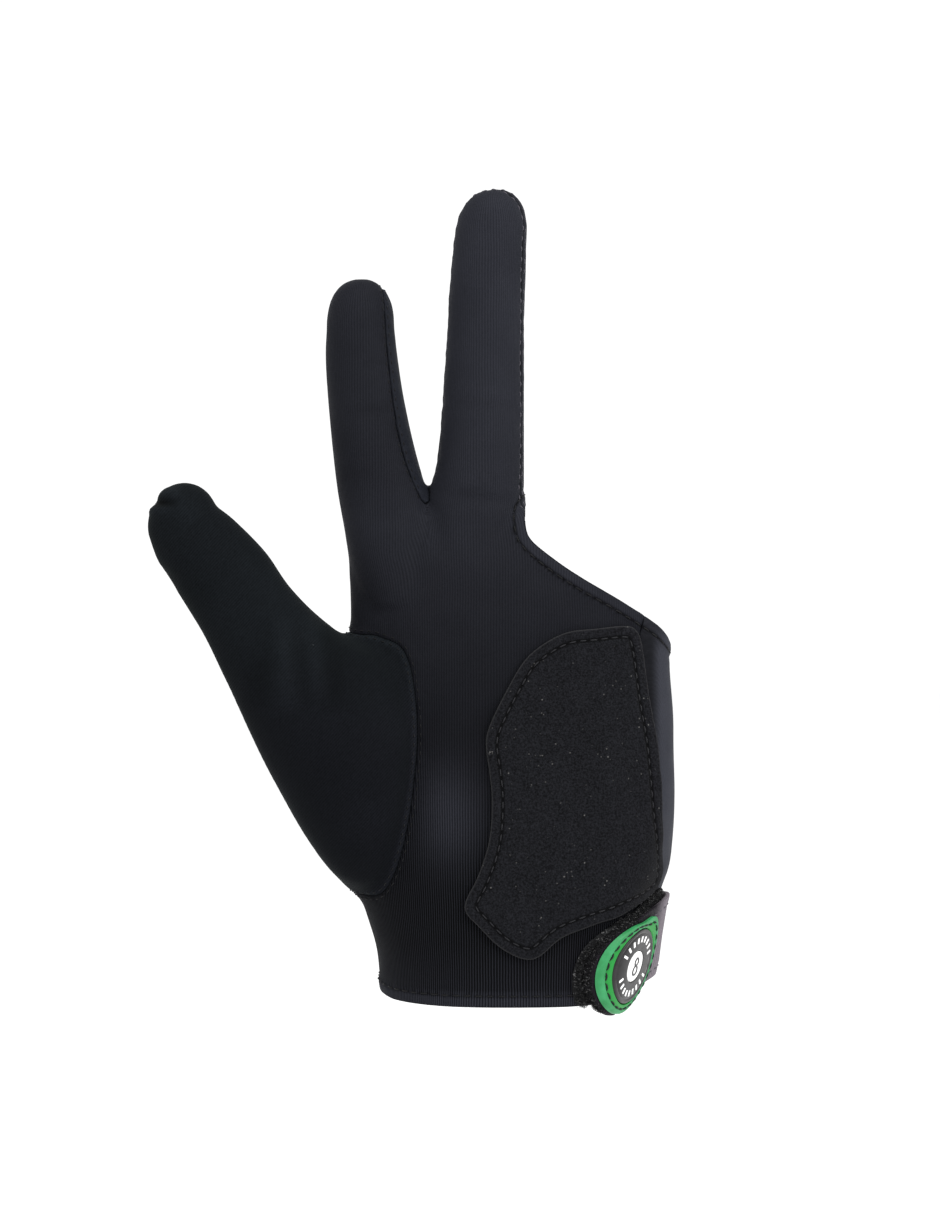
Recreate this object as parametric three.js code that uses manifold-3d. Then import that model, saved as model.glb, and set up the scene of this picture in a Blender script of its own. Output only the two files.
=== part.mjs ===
// A left-hand billiard glove in its worn form: thumb, index and middle finger are covered, and the ring and
// little fingers come out of a slanted opening. Millimetres. +Z runs up along the fingers, the palm faces -Y
// and +X is the little-finger side. The origin is the middle of the wrist opening.

import * as THREE from "three";
import { mergeVertices } from "three/addons/utils/BufferGeometryUtils.js";
import Module from "manifold-3d";

const wasm = await Module();
wasm.setup();

// Cloth and trim thicknesses

const CLOTH = 1.3;
const GAP = 0.3;
const SUEDE = 1.3;
const LOOP_PILE = 0.9;
const STRAP = 1.3;
const RUBBER = 1.0;

// How finely the forms are faceted

const PALM_SIDES = 38;
const FINGER_SIDES = 20;
const THUMB_SIDES = 24;
const DOME_STEPS = 3;
const DOME_OPEN_END = 0.35;
const DOME_POWER = 2.4;
const THUMB_DOME_POWER = 2.05;
const SURFACE_STEPS = 240;
const SEAM_STEPS = 18;
const GUSSET_STEPS = 12;
const STRAP_STATIONS = 30;
const STRAP_ACROSS = 5;
const LOOP_SIDES = 30;
const LOOP_RINGS = 6;
const RUBBER_SIDES = 28;
const RUBBER_RINGS = 4;
const BADGE_SIDES = 24;
const BADGE_RINGS = 3;
const SAME_POINT = 1e-4;

// Well clear of the glove on every side

const FAR = 120;

// Squareness of the cross sections: 2 is an ellipse, more is boxier

const PALM_POWER = 2.35;
const FINGER_POWER = 2.15;
const THUMB_POWER = 2.1;

// Hand form. Each row is a cross section: its two edges, and its depth in front of and behind its middle.

const PALM_ROWS = [
  { z: -10, left: -32.2, right: 31.6, front: 22.5, back: 20.5 },
  { z: 0, left: -33.4, right: 33.8, front: 22.3, back: 20.5 },
  { z: 10, left: -34.6, right: 35.9, front: 22.0, back: 20.0 },
  { z: 22, left: -38.2, right: 39.6, front: 21.4, back: 19.0 },
  { z: 34, left: -40.8, right: 41.8, front: 20.3, back: 18.0 },
  { z: 50, left: -42.0, right: 42.1, front: 18.8, back: 16.8 },
  { z: 66, left: -42.4, right: 41.8, front: 17.0, back: 16.0 },
  { z: 82, left: -41.9, right: 41.8, front: 15.2, back: 15.2 },
  { z: 98, left: -41.2, right: 41.4, front: 13.4, back: 14.2 },
  { z: 112, left: -41.8, right: 39.6, front: 11.2, back: 12.2 },
  { z: 120, left: -42.0, right: 37.0, front: 8.6, back: 9.4 },
];
const PALM_TOP = { x: 0, z: 3.6 };

// The tight strap presses the wrist flat where its tab lies: the way that flat faces, how far out it is at the
// height of the origin, and how far it leans out for each millimetre of height

const FLAT_TURN = THREE.MathUtils.degToRad(62);
const FLAT_OUT = 29.2;
const FLAT_LEAN = 0.22;
const FLAT_BLEND = 2.5;

const INDEX_ROWS = [
  { z: 98, left: -39.0, right: -14.0, front: 11.4, back: 12.2 },
  { z: 110, left: -41.6, right: -17.5, front: 11.4, back: 12.2 },
  { z: 119, left: -42.9, right: -19.2, front: 10.9, back: 11.4 },
  { z: 128, left: -44.2, right: -21.7, front: 10.3, back: 10.6 },
  { z: 140, left: -45.6, right: -25.0, front: 9.4, back: 9.6 },
  { z: 152, left: -46.6, right: -27.6, front: 8.8, back: 9.0 },
  { z: 163, left: -47.2, right: -29.2, front: 8.2, back: 8.4 },
  { z: 170, left: -46.9, right: -30.0, front: 7.8, back: 7.8 },
];
const INDEX_TOP = { x: 0.2, z: 12.0 };

const MIDDLE_ROWS = [
  { z: 98, left: -26.0, right: 1.0, front: 11.6, back: 12.4 },
  { z: 110, left: -24.4, right: 3.4, front: 11.6, back: 12.4 },
  { z: 119, left: -23.0, right: 3.9, front: 11.1, back: 11.6 },
  { z: 128, left: -20.6, right: 3.6, front: 10.5, back: 10.8 },
  { z: 134, left: -18.7, right: 3.6, front: 10.1, back: 10.4 },
  { z: 147, left: -17.3, right: 3.6, front: 9.4, back: 9.7 },
  { z: 164, left: -16.1, right: 3.5, front: 8.8, back: 9.0 },
  { z: 182, left: -15.0, right: 3.8, front: 8.4, back: 8.4 },
  { z: 192, left: -14.0, right: 4.1, front: 8.0, back: 7.8 },
];
const MIDDLE_TOP = { x: 1.2, z: 12.8 };

// The fingers bend a little towards the palm, by this much for each millimetre above the knuckles

const FINGER_LEAN = 0.1;
const LEAN_FROM = 124;

// The thumb's sections lie across it, from the ball of the thumb to the tip.

const THUMB_ROWS = [
  { leftX: -38.6, leftZ: 22.0, rightX: -29.0, rightZ: 26.5, front: 7.0, back: 8.0, middle: 0 },
  { leftX: -43.2, leftZ: 26.5, rightX: -24.8, rightZ: 36.0, front: 14.0, back: 13.0, middle: -2.0 },
  { leftX: -49.4, leftZ: 34.2, rightX: -22.8, rightZ: 50.0, front: 18.0, back: 15.5, middle: -3.5 },
  { leftX: -57.4, leftZ: 47.2, rightX: -23.0, rightZ: 66.5, front: 19.0, back: 16.5, middle: -4.5 },
  { leftX: -66.6, leftZ: 65.5, rightX: -31.5, rightZ: 84.0, front: 16.8, back: 15.5, middle: -5.6 },
  { leftX: -72.0, leftZ: 77.9, rightX: -45.4, rightZ: 92.6, front: 14.0, back: 13.5, middle: -6.8 },
  { leftX: -78.0, leftZ: 90.0, rightX: -56.0, rightZ: 102.6, front: 11.6, back: 11.6, middle: -8.6 },
  { leftX: -83.6, leftZ: 99.6, rightX: -62.4, rightZ: 111.8, front: 10.3, back: 10.3, middle: -10.4 },
  { leftX: -89.4, leftZ: 108.9, rightX: -70.0, rightZ: 119.8, front: 9.2, back: 9.2, middle: -12.4 },
  { leftX: -91.9, leftZ: 115.8, rightX: -76.0, rightZ: 123.8, front: 8.2, back: 8.0, middle: -13.6 },
];
const THUMB_TOP = { x: -2.8, y: -0.8, z: 8.3 };

// Seams and edges, as seen from the palm side

const THUMB_SEAM_FRONT = [
  { x: -47.0, z: 97.0 }, { x: -41.2, z: 91.5 }, { x: -33.4, z: 90.3 }, { x: -26.4, z: 85.6 },
  { x: -23.6, z: 69.0 }, { x: -24.5, z: 52.0 }, { x: -27.4, z: 36.0 }, { x: -31.6, z: 26.0 },
  { x: -36.6, z: 23.7 }, { x: -43.5, z: 24.5 },
];
const THUMB_SEAM_BACK = [
  { x: -47.0, z: 97.0 }, { x: -41.2, z: 91.5 }, { x: -36.4, z: 84.0 }, { x: -33.0, z: 68.0 },
  { x: -33.2, z: 50.0 }, { x: -35.6, z: 34.0 }, { x: -38.6, z: 25.5 }, { x: -43.5, z: 24.5 },
];
const ROUND_THUMB = [{ x: -FAR, z: 12 }, { x: -FAR, z: 150 }, { x: -56, z: 150 }];
const GUSSET_SEAM_INDEX = [
  { x: -33.6, z: 182.6 }, { x: -32.3, z: 176.8 }, { x: -31.5, z: 165.0 }, { x: -30.0, z: 151.0 },
  { x: -28.2, z: 140.7 }, { x: -26.0, z: 133.0 }, { x: -23.2, z: 126.4 },
];
const GUSSET_SEAM_MIDDLE = [
  { x: -19.4, z: 126.4 }, { x: -15.0, z: 134.0 }, { x: -13.2, z: 147.0 }, { x: -12.2, z: 165.0 },
  { x: -11.4, z: 184.0 }, { x: -11.0, z: 196.0 }, { x: -10.4, z: 203.6 },
];
const GUSSET_FOOT = { left: -22.6, right: -20.2, z: 124.4 };
const BESIDE_MIDDLE = [{ z: 129 }, { z: 134 }, { z: 147 }];
const OVER_INDEX = { x: -26, z: 190 };
const OVER_MIDDLE = { x: -24, z: 214 };
const SIDE_EDGE = [
  { x: 4.2, z: 124.0 }, { x: 4.1, z: 119.4 }, { x: 5.5, z: 115.2 }, { x: 11.4, z: 110.2 },
  { x: 18.5, z: 105.4 }, { x: 28.6, z: 99.5 }, { x: 36.6, z: 94.4 }, { x: 40.6, z: 90.8 },
  { x: 43.9, z: 84.0 },
];
const BEYOND_SIDE_EDGE = [{ x: 60, z: 70 }, { x: 60, z: 150 }, { x: 6.5, z: 150 }, { x: 4.9, z: 130 }];
const WRIST_EDGE = [
  { y: -40, z: -3.4 }, { y: -21, z: -3.0 }, { y: -12, z: -2.4 }, { y: 0, z: -0.6 }, { y: 12, z: 0.8 },
  { y: 40, z: 1.2 },
];

// Where the palm panel meets the back panel: how deep the seam lies on the thumb side and on the other side

const SIDE_SEAM_ROWS = [
  { z: -30, thumbSide: 9.0, littleSide: -9.5 },
  { z: 10, thumbSide: 9.0, littleSide: -9.5 },
  { z: 40, thumbSide: 8.5, littleSide: -10.5 },
  { z: 88, thumbSide: 7.0, littleSide: -10.0 },
  { z: 112, thumbSide: 6.0, littleSide: -5.0 },
  { z: 130, thumbSide: 4.5, littleSide: -4.8 },
  { z: 150, thumbSide: 2.8, littleSide: -6.2 },
  { z: 170, thumbSide: -0.6, littleSide: -8.0 },
  { z: 190, thumbSide: -4.5, littleSide: -10.2 },
  { z: 230, thumbSide: -8.0, littleSide: -12.0 },
];
const SIDE_SEAM_FROM_X = -27;
const SIDE_SEAM_TO_X = 0;

// Suede pad on the heel of the palm

const PAD_OUTLINE = [
  { x: 8.9, z: 88.6 }, { x: 14.7, z: 91.4 }, { x: 21.6, z: 92.2 }, { x: 28.2, z: 92.9 }, { x: 31.6, z: 92.2 },
  { x: 33.4, z: 88.1 }, { x: 35.2, z: 74.2 }, { x: 36.8, z: 61.5 }, { x: 37.5, z: 48.8 }, { x: 37.6, z: 36.1 },
  { x: 36.8, z: 26.0 }, { x: 27.9, z: 20.0 }, { x: 20.3, z: 17.4 }, { x: 12.7, z: 14.4 }, { x: 5.8, z: 9.2 },
  { x: -1.3, z: 11.3 }, { x: -7.6, z: 17.1 }, { x: -11.4, z: 22.2 }, { x: -8.1, z: 29.8 }, { x: -5.3, z: 38.7 },
  { x: -4.6, z: 48.8 }, { x: -5.3, z: 56.4 }, { x: -6.1, z: 62.8 }, { x: -5.1, z: 67.8 }, { x: -0.8, z: 76.7 },
  { x: 3.8, z: 84.3 },
];

// Wrist fastener. Its places are measured round the wrist from the little-finger side, forwards to the palm.

const STRAP_START = -34;
const STRAP_WIDTH = 21;
const STRAP_SIDE_HEIGHT = 12.9;
const TAB_AROUND = 17.2;
const TAB_HEIGHT = 5.8;
const TAB_RADIUS = 11.8;
const TAB_BEND_FROM = -4;
const TAB_BEND_POWER = 1.35;
const STRAP_RISES = { from: -12, to: 0 };
const STRAP_STANDS_OFF = { most: 1.8, around: -3, reach: 5.2, fullZ: 6, noneZ: 20 };
const TAB_WIDENS_FROM = 2;
const STATIONS_CROWD = 1.5;
const END_WIDTH = 0.999;
const RUBBER_RADIUS = 11.4;
const RUBBER_TAIL = 12.6;
const RUBBER_LOWER_RISE = 0.35;
const RUBBER_CORNER = { angle: THREE.MathUtils.degToRad(130), reach: 0.38, up: 1.9 };
const BADGE_AROUND = 15.6;
const BADGE_HEIGHT = 6.3;
const BADGE_RADIUS = 9.5;
const SPOT_RADIUS = 3.9;
const LOOP_OUTLINE = [
  { around: 1, z: 23.5 }, { around: 8.5, z: 22.4 }, { around: 17.4, z: 19.2 }, { around: 21.5, z: 17.6 },
  { around: 25.1, z: 15.2 }, { around: 28.2, z: 12.0 }, { around: 29.7, z: 8.0 }, { around: 29.9, z: 3.8 },
  { around: 28.9, z: 0 }, { around: 27.0, z: -2.6 }, { around: 19.0, z: -1.4 }, { around: 8, z: 0.4 },
  { around: 1, z: 1.8 },
];

// Blends a column of a table smoothly between its rows

function columnAt(rows, key, column, at) {
  const last = rows.length - 1;
  let i = 0;
  while (i < last - 1 && at > rows[i + 1][key]) i += 1;
  const slope = (k) => {
    const a = rows[Math.max(k - 1, 0)];
    const b = rows[Math.min(k + 1, last)];
    return (b[column] - a[column]) / (b[key] - a[key]);
  };
  const span = rows[i + 1][key] - rows[i][key];
  const t = THREE.MathUtils.clamp((at - rows[i][key]) / span, 0, 1);
  const from = rows[i][column];
  const to = rows[i + 1][column];
  const bend = slope(i) * span * t * (1 - t) ** 2 - slope(i + 1) * span * t ** 2 * (1 - t);
  return from * (1 + 2 * t) * (1 - t) ** 2 + to * (3 - 2 * t) * t ** 2 + bend;
}

// One closed cross section. It runs from the right edge over the palm side to the left edge and back behind.

function sectionPoint(section, angle) {
  const c = Math.cos(angle);
  const s = Math.sin(angle);
  const across = Math.sign(c) * Math.abs(c) ** (2 / section.power);
  const depth = Math.abs(s) ** (2 / section.power) * (s > 0 ? -section.front : section.back);
  const point = section.centre.clone().addScaledVector(section.halfWidth, across);
  point.y += depth;
  return section.pressed ? pressedFlat(point, section.grow) : point;
}

// Eases a point back to the flat that the strap presses

function pressedFlat(point, grow) {
  const facing = new THREE.Vector3(Math.sin(FLAT_TURN), -Math.cos(FLAT_TURN), 0);
  const past = point.dot(facing) - FLAT_OUT - FLAT_LEAN * point.z - grow;
  const share = THREE.MathUtils.clamp((past + FLAT_BLEND) / (2 * FLAT_BLEND), 0, 1);
  const back = past > FLAT_BLEND ? past : FLAT_BLEND * share ** 2;
  return point.addScaledVector(facing, -back);
}

function sectionBetween(left, right, row, power, grow) {
  const halfWidth = right.clone().sub(left).multiplyScalar(0.5);
  halfWidth.setLength(halfWidth.length() + grow);
  return {
    centre: left.clone().add(right).multiplyScalar(0.5),
    halfWidth,
    front: row.front + grow,
    back: row.back + grow,
    power,
    grow,
  };
}

function levelSection(rows, z, power, grow) {
  const row = {};
  for (const column of Object.keys(rows[0])) row[column] = columnAt(rows, "z", column, z);
  const lean = -FINGER_LEAN * Math.max(z - LEAN_FROM, 0);
  const left = new THREE.Vector3(row.left, lean, z);
  const right = new THREE.Vector3(row.right, lean, z);
  return { ...sectionBetween(left, right, row, power, grow), pressed: rows === PALM_ROWS };
}

function slantedSection(row, power, grow) {
  const left = new THREE.Vector3(row.leftX, row.middle, row.leftZ);
  const right = new THREE.Vector3(row.rightX, row.middle, row.rightZ);
  return sectionBetween(left, right, row, power, grow);
}

// Rounds a form off above its last section

function domeSections(shoulder, rise, power) {
  const sections = [];
  for (let k = 1; k <= DOME_STEPS; k += 1) {
    const up = Math.sin((k / (DOME_STEPS + DOME_OPEN_END)) * Math.PI * 0.5);
    const width = (1 - up ** power) ** (1 / power);
    sections.push({
      ...shoulder,
      centre: shoulder.centre.clone().addScaledVector(rise, up),
      halfWidth: shoulder.halfWidth.clone().multiplyScalar(width),
      front: shoulder.front * width,
      back: shoulder.back * width,
    });
  }
  return sections;
}

// Turns a list of rings with equal counts into a closed solid with flat ends

function solidFromRings(rings) {
  const sides = rings[0].length;
  const vertices = rings.flat();
  const triangles = [];
  for (let k = 0; k + 1 < rings.length; k += 1) {
    for (let i = 0; i < sides; i += 1) {
      const j = (i + 1) % sides;
      const low = k * sides;
      const high = low + sides;
      triangles.push(low + i, low + j, high + j, low + i, high + j, high + i);
    }
  }
  for (const end of [0, rings.length - 1]) {
    const middle = new THREE.Vector3();
    for (const point of rings[end]) middle.addScaledVector(point, 1 / sides);
    const hub = vertices.push(middle) - 1;
    for (let i = 0; i < sides; i += 1) {
      const here = end * sides + i;
      const next = end * sides + ((i + 1) % sides);
      if (end === 0) triangles.push(hub, next, here);
      else triangles.push(hub, here, next);
    }
  }
  return solid(vertices, triangles);
}

function solid(vertices, triangles) {
  const vertProperties = new Float32Array(vertices.length * 3);
  vertices.forEach((v, i) => v.toArray(vertProperties, i * 3));
  const mesh = new wasm.Mesh({ numProp: 3, vertProperties, triVerts: new Uint32Array(triangles) });
  const made = new wasm.Manifold(mesh);
  if (made.volume() >= 0) return made;
  const turned = new Uint32Array(triangles);
  for (let t = 0; t < turned.length; t += 3) turned.set([turned[t + 1], turned[t]], t);
  return new wasm.Manifold(new wasm.Mesh({ numProp: 3, vertProperties, triVerts: turned }));
}

function solidFromSections(sections, sides) {
  return solidFromRings(
    sections.map((section) => {
      const ring = [];
      for (let i = 0; i < sides; i += 1) ring.push(sectionPoint(section, (2 * Math.PI * i) / sides));
      return ring;
    }),
  );
}

function levelForm(rows, power, sides, top, grow) {
  const sections = rows.map((row) => levelSection(rows, row.z, power, grow));
  const lean = rows.at(-1).z > LEAN_FROM ? -FINGER_LEAN : 0;
  const rise = new THREE.Vector3(top.x / top.z, lean, 1).multiplyScalar(top.z + grow);
  sections.push(...domeSections(sections.at(-1), rise, DOME_POWER));
  return solidFromSections(sections, sides);
}

function thumbForm(grow) {
  const sections = THUMB_ROWS.map((row) => slantedSection(row, THUMB_POWER, grow));
  const rise = new THREE.Vector3(THUMB_TOP.x, THUMB_TOP.y, THUMB_TOP.z);
  rise.setLength(rise.length() + grow);
  sections.push(...domeSections(sections.at(-1), rise, THUMB_DOME_POWER));
  return solidFromSections(sections, THUMB_SIDES);
}

// The whole hand form, grown or shrunk by a cloth thickness

function palmForm(grow) {
  return levelForm(PALM_ROWS, PALM_POWER, PALM_SIDES, PALM_TOP, grow);
}

function handForm(grow) {
  return palmForm(grow)
    .add(levelForm(INDEX_ROWS, FINGER_POWER, FINGER_SIDES, INDEX_TOP, grow))
    .add(levelForm(MIDDLE_ROWS, FINGER_POWER, FINGER_SIDES, MIDDLE_TOP, grow))
    .add(thumbForm(grow));
}

// A block with the given outline in the X-Z view, between two depths

function block(outline, fromY, toY) {
  const shape = new THREE.Shape(outline.map((p) => new THREE.Vector2(p.x, p.z)));
  const geometry = new THREE.ExtrudeGeometry(shape, { depth: toY - fromY, bevelEnabled: false });
  geometry.rotateX(Math.PI / 2);
  geometry.translate(0, toY, 0);
  return solidFromGeometry(geometry);
}

function solidFromGeometry(geometry) {
  geometry.deleteAttribute("normal");
  geometry.deleteAttribute("uv");
  const merged = mergeVertices(geometry, SAME_POINT);
  const position = merged.getAttribute("position");
  const vertices = [];
  for (let i = 0; i < position.count; i += 1) {
    vertices.push(new THREE.Vector3().fromBufferAttribute(position, i));
  }
  return solid(vertices, Array.from(merged.index.array));
}

// Moves a line sideways, to its left where the distance is positive

function shifted(line, distance) {
  return line.map((p, i) => {
    const a = line[Math.max(i - 1, 0)];
    const b = line[Math.min(i + 1, line.length - 1)];
    const length = Math.hypot(b.x - a.x, b.z - a.z);
    return { x: p.x - ((b.z - a.z) / length) * distance, z: p.z + ((b.x - a.x) / length) * distance };
  });
}

function smoothLine(points, steps) {
  const curve = new THREE.SplineCurve(points.map((p) => new THREE.Vector2(p.x, p.z)));
  return curve.getPoints(steps).map((p) => ({ x: p.x, z: p.y }));
}

// Joins a block on the palm side and one behind the hand. The step between them keeps the margin too.

function twoSided(frontOutline, backOutline, margin) {
  const core = block(frontOutline, -FAR, FAR).intersect(block(backOutline, -FAR, FAR));
  return block(frontOutline, -FAR, margin).add(block(backOutline, -margin, FAR)).add(core);
}

// The part of the form that the thumb piece takes, widened by a margin

function thumbRegion(margin) {
  const outline = (seam) => [...shifted(smoothLine(seam, SEAM_STEPS), margin), ...ROUND_THUMB];
  return twoSided(outline(THUMB_SEAM_FRONT), outline(THUMB_SEAM_BACK), margin);
}

// The part of the form that the strip between the fingers takes, widened by a margin

function gussetRegion(margin) {
  const indexLine = shifted(smoothLine(GUSSET_SEAM_INDEX, GUSSET_STEPS), -margin);
  const middleLine = shifted(smoothLine(GUSSET_SEAM_MIDDLE, GUSSET_STEPS), -margin);
  const foot = [GUSSET_FOOT.left, GUSSET_FOOT.right].map((x) => ({ x, z: GUSSET_FOOT.z - margin }));
  const besideMiddle = ({ z }) => ({ x: columnAt(MIDDLE_ROWS, "z", "left", z) - 2 * GAP, z });
  const crotch = { x: GUSSET_FOOT.right, z: GUSSET_SEAM_MIDDLE[0].z };
  const middleSide = shifted([crotch, ...BESIDE_MIDDLE.map(besideMiddle)], -margin);
  const front = [...indexLine, ...foot, ...middleSide, OVER_INDEX];
  const back = [...indexLine, ...foot, ...middleLine, OVER_MIDDLE, OVER_INDEX];
  const lean = new THREE.Matrix4().makeShear(0, 0, 0, 0, 0, -FINGER_LEAN).toArray();
  return twoSided(front, back, margin).transform(lean).translate(0, FINGER_LEAN * LEAN_FROM, 0);
}

// The part of the form behind the side seams

function backRegion(margin) {
  const rings = SIDE_SEAM_ROWS.map((row) => {
    const thumbSide = row.thumbSide - margin;
    const littleSide = row.littleSide - margin;
    return [
      new THREE.Vector3(-FAR, FAR, row.z),
      new THREE.Vector3(-FAR, thumbSide, row.z),
      new THREE.Vector3(SIDE_SEAM_FROM_X, thumbSide, row.z),
      new THREE.Vector3(SIDE_SEAM_TO_X, littleSide, row.z),
      new THREE.Vector3(FAR, littleSide, row.z),
      new THREE.Vector3(FAR, FAR, row.z),
    ];
  });
  return solidFromRings(rings);
}

// What the slanted opening and the wrist opening cut away

function sideOpening() {
  return block([...smoothLine(SIDE_EDGE, SEAM_STEPS), ...BEYOND_SIDE_EDGE], -FAR, FAR);
}

function wristOpening() {
  const shape = new THREE.Shape(
    [...WRIST_EDGE, { y: 40, z: -FAR }, { y: -40, z: -FAR }].map((p) => new THREE.Vector2(p.y, p.z)),
  );
  const geometry = new THREE.ExtrudeGeometry(shape, { depth: 2 * FAR, bevelEnabled: false });
  geometry.applyMatrix4(new THREE.Matrix4().set(0, 0, 1, -FAR, 1, 0, 0, 0, 0, 1, 0, 0, 0, 0, 0, 1));
  return solidFromGeometry(geometry);
}

// A point on the palm form, found by its way round from the little-finger side and its height

function wrapPoint(around, z, out) {
  const section = levelSection(PALM_ROWS, z, PALM_POWER, out);
  const direction = Math.sign(around) || 1;
  let length = 0;
  let before = sectionPoint(section, 0);
  for (let k = 1; k <= SURFACE_STEPS; k += 1) {
    const here = sectionPoint(section, (direction * Math.PI * k) / SURFACE_STEPS);
    const step = here.distanceTo(before);
    if (length + step >= Math.abs(around)) return before.lerp(here, (Math.abs(around) - length) / step);
    length += step;
    before = here;
  }
  return before;
}

// A patch that lies on the palm form: rings of an outline from its middle to its edge, between two heights

function wrappedPatch(outline, centre, inner, outer, rings) {
  const sides = outline.length;
  const at = (share, out) =>
    outline.map((p) => {
      const around = centre.around + (p.around - centre.around) * share;
      return wrapPoint(around, centre.z + (p.z - centre.z) * share, out);
    });
  const shares = [];
  for (let k = 1; k <= rings; k += 1) shares.push(k / rings);
  const below = shares.map((share) => at(share, inner));
  const above = shares.map((share) => at(share, outer)).reverse();
  const lowHub = wrapPoint(centre.around, centre.z, inner);
  const highHub = wrapPoint(centre.around, centre.z, outer);
  const vertices = [...below, ...above].flat();
  const triangles = [];
  for (let k = 0; k + 1 < 2 * rings; k += 1) {
    for (let i = 0; i < sides; i += 1) {
      const j = (i + 1) % sides;
      const low = k * sides;
      const high = low + sides;
      triangles.push(low + i, low + j, high + j, low + i, high + j, high + i);
    }
  }
  const lowIndex = vertices.push(lowHub) - 1;
  const highIndex = vertices.push(highHub) - 1;
  const top = (2 * rings - 1) * sides;
  for (let i = 0; i < sides; i += 1) {
    const j = (i + 1) % sides;
    triangles.push(lowIndex, j, i, highIndex, top + i, top + j);
  }
  return solid(vertices, triangles);
}

function smoothOutline(points, steps) {
  const curve = new THREE.CatmullRomCurve3(points.map((p) => new THREE.Vector3(p.around, 0, p.z)), true);
  return curve.getSpacedPoints(steps).slice(0, -1).map((p) => ({ around: p.x, z: p.z }));
}

function circleAround(centre, radius, sides) {
  const outline = [];
  for (let i = 0; i < sides; i += 1) {
    const angle = (2 * Math.PI * i) / sides;
    const around = centre.around + radius * Math.cos(angle);
    outline.push({ around, z: centre.z + radius * Math.sin(angle) });
  }
  return outline;
}

// The strap's middle line falls from the side of the wrist to the tab

function strapHeight(around) {
  const t = Math.max((around - TAB_BEND_FROM) / (TAB_AROUND - TAB_BEND_FROM), 0);
  return STRAP_SIDE_HEIGHT + (TAB_HEIGHT - STRAP_SIDE_HEIGHT) * t ** TAB_BEND_POWER;
}

function strapLift(around, z) {
  const t = THREE.MathUtils.smoothstep(around, STRAP_RISES.from, STRAP_RISES.to);
  const off = STRAP_STANDS_OFF;
  const low = 1 - THREE.MathUtils.smoothstep(z, off.fullZ, off.noneZ);
  const near = Math.exp(-(((around - off.around) / off.reach) ** 2));
  return GAP + t * (LOOP_PILE + GAP) + off.most * low * near;
}

function strapHalfWidth(around) {
  if (around > TAB_AROUND) return Math.sqrt(Math.max(TAB_RADIUS ** 2 - (around - TAB_AROUND) ** 2, 0));
  const widening = THREE.MathUtils.smoothstep(around, TAB_WIDENS_FROM, TAB_AROUND);
  return THREE.MathUtils.lerp(STRAP_WIDTH / 2, TAB_RADIUS, widening);
}

function wristStrap() {
  const length = TAB_AROUND + TAB_RADIUS - STRAP_START;
  const rings = [];
  for (let k = 0; k <= STRAP_STATIONS; k += 1) {
    const share = 1 - (1 - k / STRAP_STATIONS) ** STATIONS_CROWD;
    const around = STRAP_START + length * share * END_WIDTH;
    const height = strapHeight(Math.min(around, TAB_AROUND));
    const ring = [];
    for (let i = 0; i <= 2 * STRAP_ACROSS + 1; i += 1) {
      const above = i > STRAP_ACROSS;
      const across = (above ? 2 * STRAP_ACROSS + 1 - i : i) / STRAP_ACROSS;
      const z = height + strapHalfWidth(around) * (2 * across - 1);
      ring.push(wrapPoint(around, z, strapLift(around, z) + (above ? STRAP : 0)));
    }
    rings.push(ring);
  }
  return solidFromRings(rings);
}

// The green patch follows the tab's round end and runs out to a narrower tail round the side

function rubberOutline() {
  const outline = [];
  for (let i = 0; i < RUBBER_SIDES; i += 1) {
    const angle = (2 * Math.PI * i) / RUBBER_SIDES;
    const backwards = Math.max(-Math.cos(angle), 0);
    const share = THREE.MathUtils.lerp(RUBBER_LOWER_RISE, 1, Math.max(Math.sin(angle), 0));
    const around = TAB_AROUND + RUBBER_RADIUS * Math.cos(angle) - (RUBBER_TAIL - RUBBER_RADIUS) * backwards;
    const rise = (strapHeight(around) - TAB_HEIGHT) * backwards * share;
    const corner = RUBBER_CORNER.up * Math.exp(-(((angle - RUBBER_CORNER.angle) / RUBBER_CORNER.reach) ** 2));
    outline.push({ around, z: TAB_HEIGHT + RUBBER_RADIUS * Math.sin(angle) + rise + corner });
  }
  return outline;
}

// Build the pieces

const outer = handForm(0);
const inner = handForm(-CLOTH);
const shell = outer.subtract(inner).subtract(sideOpening()).subtract(wristOpening());

const halfGap = GAP / 2;
const thumb = shell.intersect(thumbRegion(-halfGap));
const hand = shell.subtract(thumbRegion(halfGap));
const gusset = hand.intersect(gussetRegion(-halfGap));
const panels = hand.subtract(gussetRegion(halfGap));
const back = panels.intersect(backRegion(-halfGap));
const palm = panels.subtract(backRegion(halfGap));

const padBlock = block(PAD_OUTLINE, -FAR, 0);
const pad = handForm(GAP + SUEDE).subtract(handForm(GAP)).intersect(padBlock);

const loopCentre = { around: 17, z: 8 };
const padClearance = block(shifted([...PAD_OUTLINE].reverse(), GAP), -FAR, 0);
const loopOutline = smoothOutline(LOOP_OUTLINE, LOOP_SIDES);
const loopWhole = wrappedPatch(loopOutline, loopCentre, GAP, GAP + LOOP_PILE, LOOP_RINGS);
const loopPatch = loopWhole.subtract(padClearance);

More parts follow.
